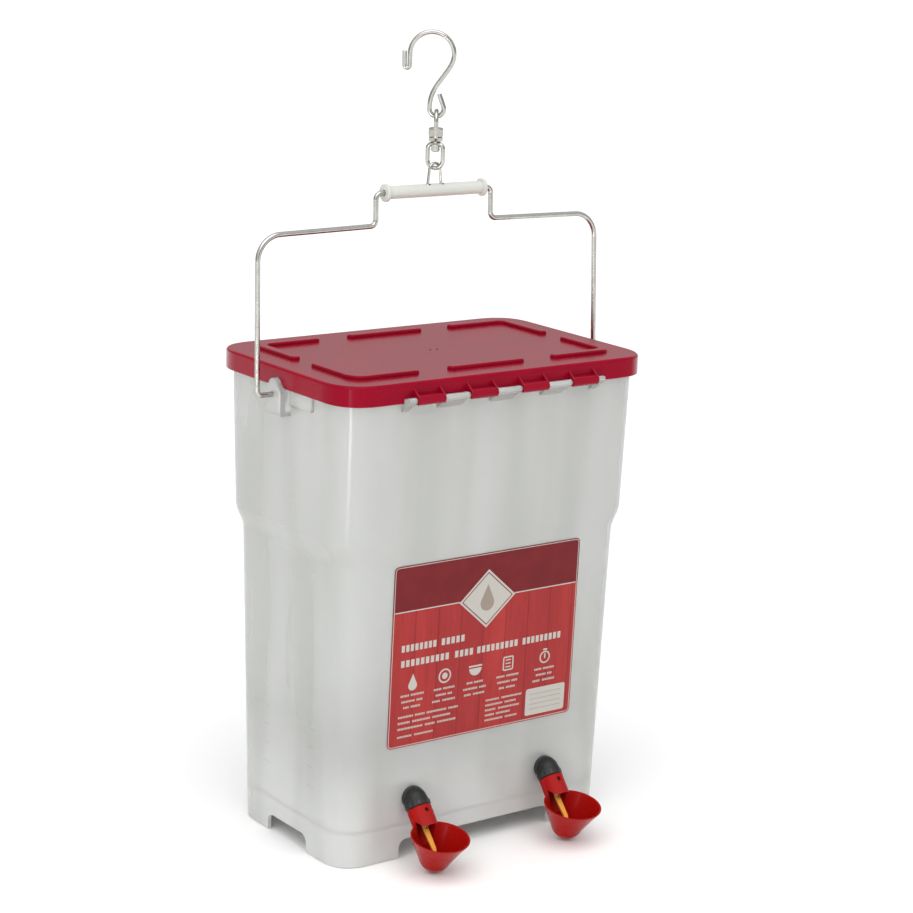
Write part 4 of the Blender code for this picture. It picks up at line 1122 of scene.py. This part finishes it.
def build_hanger():
    """A wire vee: each leg comes down into the grip and curls round the bail wire."""
    curl = [Vector((HANGER_HALF, y, z)) for y, z in arc((0, 0), HANGER_HOOK_R, 20, -230, 30)]
    rise = curl[-1]
    corner = rise + Vector((0, -rise.y, -rise.y * math.tan(math.radians(40))))
    leg = filleted((rise, corner, (HANGER_ARCH_R, 0, HANGER_APEX - HANGER_ARCH_R)), (2 * MM,),
        math.radians(8))
    arch_centre = (0, HANGER_APEX - HANGER_ARCH_R)
    arch = [Vector((x, 0, z)) for x, z in arc(arch_centre, HANGER_ARCH_R, 0, 90, 12)]
    right = curl + leg[1:] + arch[1:]
    left = [Vector((-p.x, p.y, p.z)) for p in reversed(right[:-1])]
    wire = tube([GRIP_CENTRE + p for p in right + left], HANGER_R, 16, ends=0.3 * MM)
    return piece(wire, "hanger_wire", CHAIN, "grip", ("hanger",))


# ---------------------------------------------------------------- swivel and hook


def chain_point(turn, across, up):
    return GRIP_CENTRE + Vector((across * math.cos(turn), across * math.sin(turn), up))


def build_yoke():
    """A wire ring with a headed shank that stands up through the swivel eye's base."""
    shoulder = 4 * MM
    outline = arc((0, YOKE_LOW + YOKE_HALF), YOKE_HALF, 180, 360, 28)
    outline += arc((YOKE_HALF - shoulder, YOKE_HIGH - shoulder), shoulder, 0, 90, 10)
    outline += arc((shoulder - YOKE_HALF, YOKE_HIGH - shoulder), shoulder, 90, 180, 10)
    yoke = tube([chain_point(YOKE_TURN, u, z) for u, z in outline], YOKE_WIRE_R, 20, closed=True)
    corners = (
        (RIVET_LOW, 0.6 * MM),
        (RIVET_LOW, RIVET_R),
        (YOKE_HIGH, RIVET_R),
        (YOKE_HIGH, SHANK_R),
        (BARREL_LOW, SHANK_R),
        (BARREL_LOW, SWIVEL_BARREL_R),
        (BARREL_HIGH, SWIVEL_BARREL_R),
        (BARREL_HIGH, 0.6 * MM),
    )
    radii = (1.1 * MM, 0.5 * MM, 0.3 * MM, 0.3 * MM, 0.6 * MM, 1.3 * MM)
    profile = [(p.x, p.y) for p in filleted([(s, r, 0) for s, r in corners], radii, math.radians(15))]
    add(yoke, turned(GRIP_CENTRE, (0, 0, 1), profile, 48))
    return piece(yoke, "swivel_yoke_wire", CHAIN, "yoke", ("swivel_yoke",))


def build_eye():
    """The turning half of the swivel: a bored base and a long eye round the shank's head."""
    corner = 3.5 * MM
    outline = arc((corner - EYE_HALF, EYE_LOW + corner), corner, 180, 270, 10)
    outline += arc((EYE_HALF - corner, EYE_LOW + corner), corner, 270, 360, 10)
    outline += arc((0, EYE_HIGH - EYE_HALF), EYE_HALF, 0, 180, 28)
    eye = tube([chain_point(EYE_TURN, u, z) for u, z in outline], EYE_WIRE_R, 20, closed=True)
    half = EYE_WIRE_R - 0.05 * MM
    corners = ((EYE_LOW - half, 1 * MM), (EYE_LOW - half, EYE_BASE_R), (EYE_LOW + half, EYE_BASE_R),
        (EYE_LOW + half, 1 * MM))
    base = [(p.x, p.y) for p in filleted([(s, r, 0) for s, r in corners], (0.7 * MM, 0.5 * MM),
        math.radians(18))]
    add(eye, turned(GRIP_CENTRE, (0, 0, 1), base, 48))
    cut(eye, rod(GRIP_CENTRE, (0, 0, 1), EYE_LOW - 3 * MM, EYE_LOW + 3 * MM, SHANK_R + GAP, 40))
    return piece(eye, "swivel_eye_wire", CHAIN, "eye", ("swivel_eye",))


def bezier(a, b, c, d, steps):
    points = []
    for k in range(1, steps):
        t = k / steps
        mixed = [
            (1 - t) ** 3 * a[i] + 3 * t * (1 - t) ** 2 * b[i] + 3 * t * t * (1 - t) * c[i] + t**3 * d[i]
            for i in range(2)
        ]
        points.append(tuple(mixed))
    return points


def hook_path():
    """The hook in its own plane, from the folded tip over the bend and down the sweep into the lower eye."""
    left = HOOK_BEND_X - HOOK_BEND_R
    fold = HOOK_BEND_Z - 8.8 * MM
    path = [(left - 2 * HOOK_TIP_GAP, fold + 10.8 * MM)]
    path += arc((left - HOOK_TIP_GAP, fold), HOOK_TIP_GAP, -180, 0, 16)
    bend_end = -30
    bend = arc((HOOK_BEND_X, HOOK_BEND_Z), HOOK_BEND_R, 180, bend_end, 48)
    eye = arc((0, HOOK_EYE_LOW + HOOK_EYE_R), HOOK_EYE_R, 175, 380, 40) + [(1.77 * MM, 74.5 * MM)]
    down = math.radians(bend_end - 90)
    pull = 15 * MM
    leave = (bend[-1][0] + pull * math.cos(down), bend[-1][1] + pull * math.sin(down))
    meet = (eye[0][0], eye[0][1] + pull)
    path += bend + bezier(bend[-1], leave, meet, eye[0], 22) + eye
    return path


def build_hook():
    wire = tube([chain_point(HOOK_TURN, u, z) for u, z in hook_path()], HOOK_WIRE_R, 22, ends=0.5 * MM)
    return piece(wire, "hook_wire", CHAIN, "hook", ("hook",))


# ---------------------------------------------------------------- drinkers


def build_valve_body(side, x):
    """A threaded stem through the wall, a flange, and an elbow down to the spigot the cup twists onto."""
    face, centre = wall_point(x), elbow(x)
    seal = GAP + SEAL_THICK + GAP
    stem = [(-16 * MM, STEM_R - 0.7 * MM)]
    at, pitch = -15.6 * MM, 1.5 * MM
    while at < -3.0 * MM:
        stem += [(at, STEM_R - 0.55 * MM), (at + pitch * 0.35, STEM_R), (at + pitch * 0.6, STEM_R),
            (at + pitch * 0.95, STEM_R - 0.55 * MM)]
        at += pitch
    stem += [(-2.2 * MM, STEM_R), (seal, STEM_R), (seal, FLANGE_R - 0.4 * MM), (seal + 0.4 * MM, FLANGE_R),
        (5 * MM, FLANGE_R)]
    body = turned(face, WALL_OUT, stem, 48)
    profile = []
    for k in range(15):
        a = math.pi / 2 * (1 - k / 14)
        profile.append((-ELBOW_R * math.sin(a), max(ELBOW_R * math.cos(a), 0.5 * MM)))
    profile += [(2 * MM, BARREL_R), (BARREL_END - 0.4 * MM, BARREL_R), (BARREL_END, BARREL_R - 0.4 * MM)]
    profile += [(BARREL_END, SPIGOT_R), (SPIGOT_END - 0.5 * MM, SPIGOT_R), (SPIGOT_END, SPIGOT_R - 0.5 * MM)]
    bend = turned(centre, NECK, profile, 72)
    lug_count = 8
    for k in range(lug_count):
        a = 2 * math.pi * (k + 0.5) / lug_count
        out = Vector((1, 0, 0)) * math.cos(a) + NECK_FACE * math.sin(a)
        across = NECK.cross(out)
        place = lambda p, q, d: centre + NECK * d + out * p + across * q
        half = 1.7 * MM
        outline = [(8.5 * MM, -half), (10.1 * MM, -half * 0.85), (10.4 * MM, -half * 0.55)]
        outline += [(p, -q) for p, q in reversed(outline)]
        add(bend, soft_prism(outline, place, BARREL_END - 0.6 * MM, 3 * MM, 0.5 * MM, 3))
    cut(bend, rod(face, WALL_OUT, -15 * MM, 4 * MM, 25 * MM, 24))
    add(body, bend)
    pip = centre + NECK * DETENT_AT
    add(body, rod(pip, NECK_FACE, SPIGOT_R - 1 * MM, SLEEVE_BORE_R - 0.2 * MM, 1.2 * MM, 20))
    cut(body, rod(face, WALL_OUT, -17 * MM, ELBOW_OUT, STEM_BORE_R, 32))
    cut(body, rod(centre, NECK, -1 * MM, SPIGOT_END + 1 * MM, VALVE_BORE_R, 32))
    return piece(body, f"valve_body_shell_{side}", BLACK, "fount", (f"valve_body_{side}",))


def washer(name, x, start, end, node):
    edge = 0.3 * MM
    inner = STEM_R + GAP
    corners = ((start, inner), (start, SEAL_R - edge), (start + edge, SEAL_R), (end - edge, SEAL_R),
        (end, SEAL_R - edge), (end, inner))
    ring = turned(wall_point(x), WALL_OUT, corners, 56, closed=True)
    return piece(ring, name, SEAL, "fount", (node,))


def build_nut(side, x):
    start = -(TANK_WALL + GAP + SEAL_THICK + 2 * GAP)
    end = start - NUT_THICK
    corner_r = NUT_FLAT / math.cos(math.pi / 6)
    nut = rod(wall_point(x), WALL_OUT, end, start, corner_r, 6)
    dome = ((end - 1 * MM, NUT_FLAT - 0.6 * MM), (end + 0.9 * MM, corner_r + 0.1 * MM),
        (start + 1 * MM, corner_r + 0.1 * MM))
    common = turned(wall_point(x), WALL_OUT, dome, 56)
    combine(nut, common, "INTERSECT")
    cut(nut, rod(wall_point(x), WALL_OUT, end - 1 * MM, start + 1 * MM, STEM_R + GAP, 48))
    return piece(nut, f"lock_nut_hex_{side}", PALE_NUT, "fount", (f"lock_nut_{side}",), 25)


def build_spring(side, x):
    """A small coil that presses the valve pin's head onto its seat."""
    centre = elbow(x)
    u, v = frame_of(NECK)
    start, end, turns, steps = 3.6 * MM, 10.4 * MM, 4, 28
    path = []
    for k in range(turns * steps + 1):
        a = 2 * math.pi * k / steps
        s = start + (end - start) * k / (turns * steps)
        path.append(centre + NECK * s + (u * math.cos(a) + v * math.sin(a)) * 2.9 * MM)
    wire = tube(path, 0.35 * MM, 10)
    return piece(wire, f"valve_spring_coil_{side}", STEEL, "fount", (f"valve_spring_{side}",))


def build_pin(side, x):
    corners = (
        (PIN_HEAD_FROM, PIN_HEAD_R - 0.4 * MM),
        (PIN_HEAD_FROM + 0.4 * MM, PIN_HEAD_R),
        (PIN_HEAD_TO, PIN_HEAD_R),
        (PIN_HEAD_TO, PIN_R),
        (PIN_END - 0.5 * MM, PIN_R),
        (PIN_END - 0.15 * MM, PIN_R - 0.25 * MM),
        (PIN_END, PIN_R - 0.6 * MM),
    )
    pin = turned(elbow(x), NECK, corners, 32)
    return piece(pin, f"valve_pin_steel_{side}", STEEL, f"trigger_{side}", (f"valve_pin_{side}",))


def build_trigger(side, x):
    """A collar pressed onto the pin, with a rounded blade that reaches down into the bowl."""
    centre = elbow(x)
    low, high = 19.5 * MM, 23.6 * MM
    collar = ((low, 2.5 * MM), (low + 0.4 * MM, 2.9 * MM), (high - 0.4 * MM, 2.9 * MM), (high, 2.5 * MM))
    trigger = turned(centre, NECK, collar, 40)
    stations = ((20, 2.1), (21.2, 2.15), (26, 2.3), (30, 2.28), (34, 2.2), (38, 2.05), (42, 1.9),
        (43.6, 1.6), (44.6, 1.15), (45, 0.7))
    rings = []
    for s, half in stations:
        s, half = s * MM, half * MM
        lift = 1.2 * MM * min(max((s - 26 * MM) / (16 * MM), 0), 1)
        thick = 1.2 * MM if s < 43 * MM else 0.9 * MM
        section = rounded_rectangle(half, thick, min(0.7 * MM, half * 0.9, thick * 0.9), 4,
            (0, -1.4 * MM + lift))
        rings.append([centre + NECK * s + Vector((q, 0, 0)) + NECK_FACE * p for q, p in section])
    add(trigger, loft(rings))
    cut(trigger, rod(centre, NECK, low - 1 * MM, PIN_END + 2 * MM, PIN_R + 0.05 * MM, 28))
    return piece(trigger, f"trigger_blade_{side}", YELLOW, f"trigger_{side}", (f"trigger_{side}",))


BOWL_STEPS = 72


def bowl_ring(middle, radius, tilt):
    forward = Vector((0, -math.cos(tilt), -math.sin(tilt)))
    ring = []
    for n in range(BOWL_STEPS):
        a = 2 * math.pi * n / BOWL_STEPS
        ring.append(middle + Vector((1, 0, 0)) * radius * math.cos(a) + forward * radius * math.sin(a))
    return ring


def bowl_rings(x, thin, edge):
    """Rings of the bowl from the tilted rim to the round bottom, for the outside or, if thin, the inside."""
    centre = elbow(x)
    latitude = math.radians(27)
    low_r = BOWL_R - thin
    top = Vector((0, -RIM_OUT, -RIM_DOWN))
    low = Vector((0, -BOWL_OUT, -BOWL_DOWN - low_r * math.sin(latitude)))
    length = (low - top).length
    soft = edge / length
    if thin:
        shares = [(-0.12, 0), (0.0, edge)] + [(soft * (1 - math.cos(a)),
            edge * (1 - math.sin(a))) for a in (0.4, 0.8, 1.2, math.pi / 2)]
        shares[0] = (-0.12, edge)
        sign = 1
    else:
        shares = [(soft * (1 - math.sin(a)), edge * (1 - math.cos(a))) for a in (math.pi / 2, 1.2, 0.8, 0.4,
            0.0)]
        sign = -1
    shares += [(k / 8, 0) for k in range(1, 9)]
    rings = []
    for t, change in shares:
        tilt = RIM_TILT * (1 - t)
        radius = (RIM_R - thin) * (1 - t) + low_r * math.cos(latitude) * t + sign * change
        rings.append(bowl_ring(centre + top.lerp(low, t), radius, tilt))
    for k in range(1, 13):
        a = latitude + (math.radians(87) - latitude) * k / 12
        middle = centre + Vector((0, -BOWL_OUT, -BOWL_DOWN - low_r * math.sin(a)))
        rings.append(bowl_ring(middle, low_r * math.cos(a), 0))
    return rings


def build_cup(side, x):
    """A round bowl with a sleeve at its back that twists onto the valve's spigot."""
    centre = elbow(x)
    cup = loft(bowl_rings(x, 0.0, 0.6 * MM))
    soft = 0.5 * MM
    start = BARREL_END + GAP
    ends = ((start, SLEEVE_R - soft), (start + 0.15 * MM, SLEEVE_R - 0.15 * MM), (start + soft, SLEEVE_R),
        (SLEEVE_END, SLEEVE_R))
    sleeve = turned(centre, NECK, ends, 72)
    far = SLEEVE_END + 1 * MM
    mouth = ((SLEEVE_MOUTH, 0), (far, 0), (far, 12 * MM), (SLEEVE_MOUTH, 12 * MM))
    place = lambda a, b, d: centre + NECK * a + NECK_FACE * b + Vector((d, 0, 0))
    cut(sleeve, prism(mouth, place, (-12 * MM, 12 * MM)))
    add(cup, sleeve)
    cut(cup, loft(bowl_rings(x, CUP_WALL, 0.5 * MM)))
    cut(cup, rod(centre, NECK, BARREL_END - 1 * MM, SLEEVE_END, SLEEVE_BORE_R, 72))
    cut(cup, rod(centre + NECK * DETENT_AT, NECK_FACE, SPIGOT_R, SLEEVE_R + 2 * MM, DETENT_R, 32))
    return piece(cup, f"cup_bowl_{side}", CUP_RED, f"cup_{side}", (f"cup_{side}",), 35)


def build_seat(side, x):
    inner, outer, edge = PIN_R + 0.7 * MM, VALVE_BORE_R - GAP, 0.25 * MM
    corners = (
        (SEAT_FROM, inner),
        (SEAT_FROM, outer - edge),
        (SEAT_FROM + edge, outer),
        (SEAT_TO - edge, outer),
        (SEAT_TO, outer - edge),
        (SEAT_TO, inner),
    )
    ring = turned(elbow(x), NECK, corners, 36, closed=True)
    return piece(ring, f"valve_seat_ring_{side}", SEAT, "fount", (f"valve_seat_{side}",))


def build_drinker(side, x):
    build_valve_body(side, x)
    inside = -(TANK_WALL + GAP)
    washer(f"outer_seal_ring_{side}", x, GAP, GAP + SEAL_THICK, f"outer_seal_{side}")
    washer(f"inner_washer_ring_{side}", x, inside - SEAL_THICK, inside, f"inner_washer_{side}")
    build_nut(side, x)
    build_seat(side, x)
    build_spring(side, x)
    build_pin(side, x)
    build_trigger(side, x)
    build_cup(side, x)


# ---------------------------------------------------------------- studio


def floor():
    """A wide pale studio floor."""
    bm = bmesh.new()
    bmesh.ops.create_grid(bm, x_segments=1, y_segments=1, size=60)
    ground = new_object("studio_floor", bm)
    n = Nodes("studio_floor")
    base = n.mix(n.ramp(n.noise(0.5, 3.0), 0.3, 0.7), (0.93, 0.93, 0.92), (0.96, 0.96, 0.95))
    ground.data.materials.append(n.finish(base, 0.9, n.bump(n.noise(2 * MM, 2.0), 0.02 * MM, 0.3)))


def light(name, place, target, size, power, colour=(1, 1, 1)):
    lamp = bpy.data.lights.new(name, "AREA")
    lamp.shape = "RECTANGLE"
    lamp.size, lamp.size_y = size
    lamp.energy = power
    lamp.color = colour
    obj = bpy.data.objects.new(name, lamp)
    obj.location = place
    direction = Vector(target) - Vector(place)
    obj.rotation_euler = direction.to_track_quat("-Z", "Y").to_euler()
    obj.visible_camera = False
    bpy.context.scene.collection.objects.link(obj)


def studio():
    floor()
    world = bpy.data.worlds.new("studio")
    bpy.context.scene.world = world
    world.use_nodes = True
    tree = world.node_tree
    direction = tree.nodes.new("ShaderNodeTexCoord").outputs["Generated"]
    split = tree.nodes.new("ShaderNodeSeparateXYZ")
    tree.links.new(direction, split.inputs["Vector"])
    height = tree.nodes.new("ShaderNodeMapRange")
    height.interpolation_type = "SMOOTHSTEP"
    for key, value in (("From Min", 0.08), ("From Max", 0.5), ("To Min", 0.3), ("To Max", 0.74)):
        height.inputs[key].default_value = value
    tree.links.new(split.outputs["Z"], height.inputs["Value"])
    sky_light = tree.nodes["Background"]
    sky_light.inputs["Color"].default_value = (0.98, 0.99, 1.0, 1)
    tree.links.new(height.outputs["Result"], sky_light.inputs["Strength"])
    middle = Vector((0, TANK_Y, 0.25))
    sun = bpy.data.lights.new("overhead", "SUN")
    sun.energy = 1.75
    sun.angle = math.radians(70)
    sky = bpy.data.objects.new("overhead", sun)
    sky.rotation_euler = Vector((0.25, 0.35, -1)).to_track_quat("-Z", "Y").to_euler()
    bpy.context.scene.collection.objects.link(sky)
    light("key", (-1.9, -1.1, 1.3), middle, (0.9, 1.4), 3)
    light("strip", (-1.25, -1.35, 0.55), middle, (0.14, 1.1), 1)
    light("fill", (1.6, -2.0, 1.1), middle, (1.2, 1.4), 0.8)
    light("corner", (-0.83, TANK_Y - 0.6, 0.16), (-0.13, TANK_Y - 0.07, 0.16), (0.05, 0.28), 0.9)


def camera():
    """Seen from the front left and a little above."""
    azimuth, elevation, roll = math.radians(36.1144), math.radians(13.5633), math.radians(1.8911)
    turn = Matrix.Rotation(-azimuth, 4, "Z") @ Matrix.Rotation(math.pi / 2 - elevation, 4, "X")
    place = Vector((-1.1221, TANK_Y - 1.5733, 0.7677))
    lens = bpy.data.cameras.new("camera")
    lens.lens = 98.05
    lens.sensor_width = 36
    lens.clip_end = 200
    obj = bpy.data.objects.new("camera", lens)
    obj.matrix_world = Matrix.Translation(place) @ turn @ Matrix.Rotation(roll, 4, "Z")
    bpy.context.scene.collection.objects.link(obj)
    bpy.context.scene.camera = obj


build_tank()
build_lid()
build_label()
build_bail()
build_grip()
build_hanger()
build_yoke()
build_eye()
build_hook()
build_drinker("left", -DRINKER_X)
build_drinker("right", DRINKER_X)
studio()
camera()
bpy.context.scene.view_settings.view_transform = "Standard"
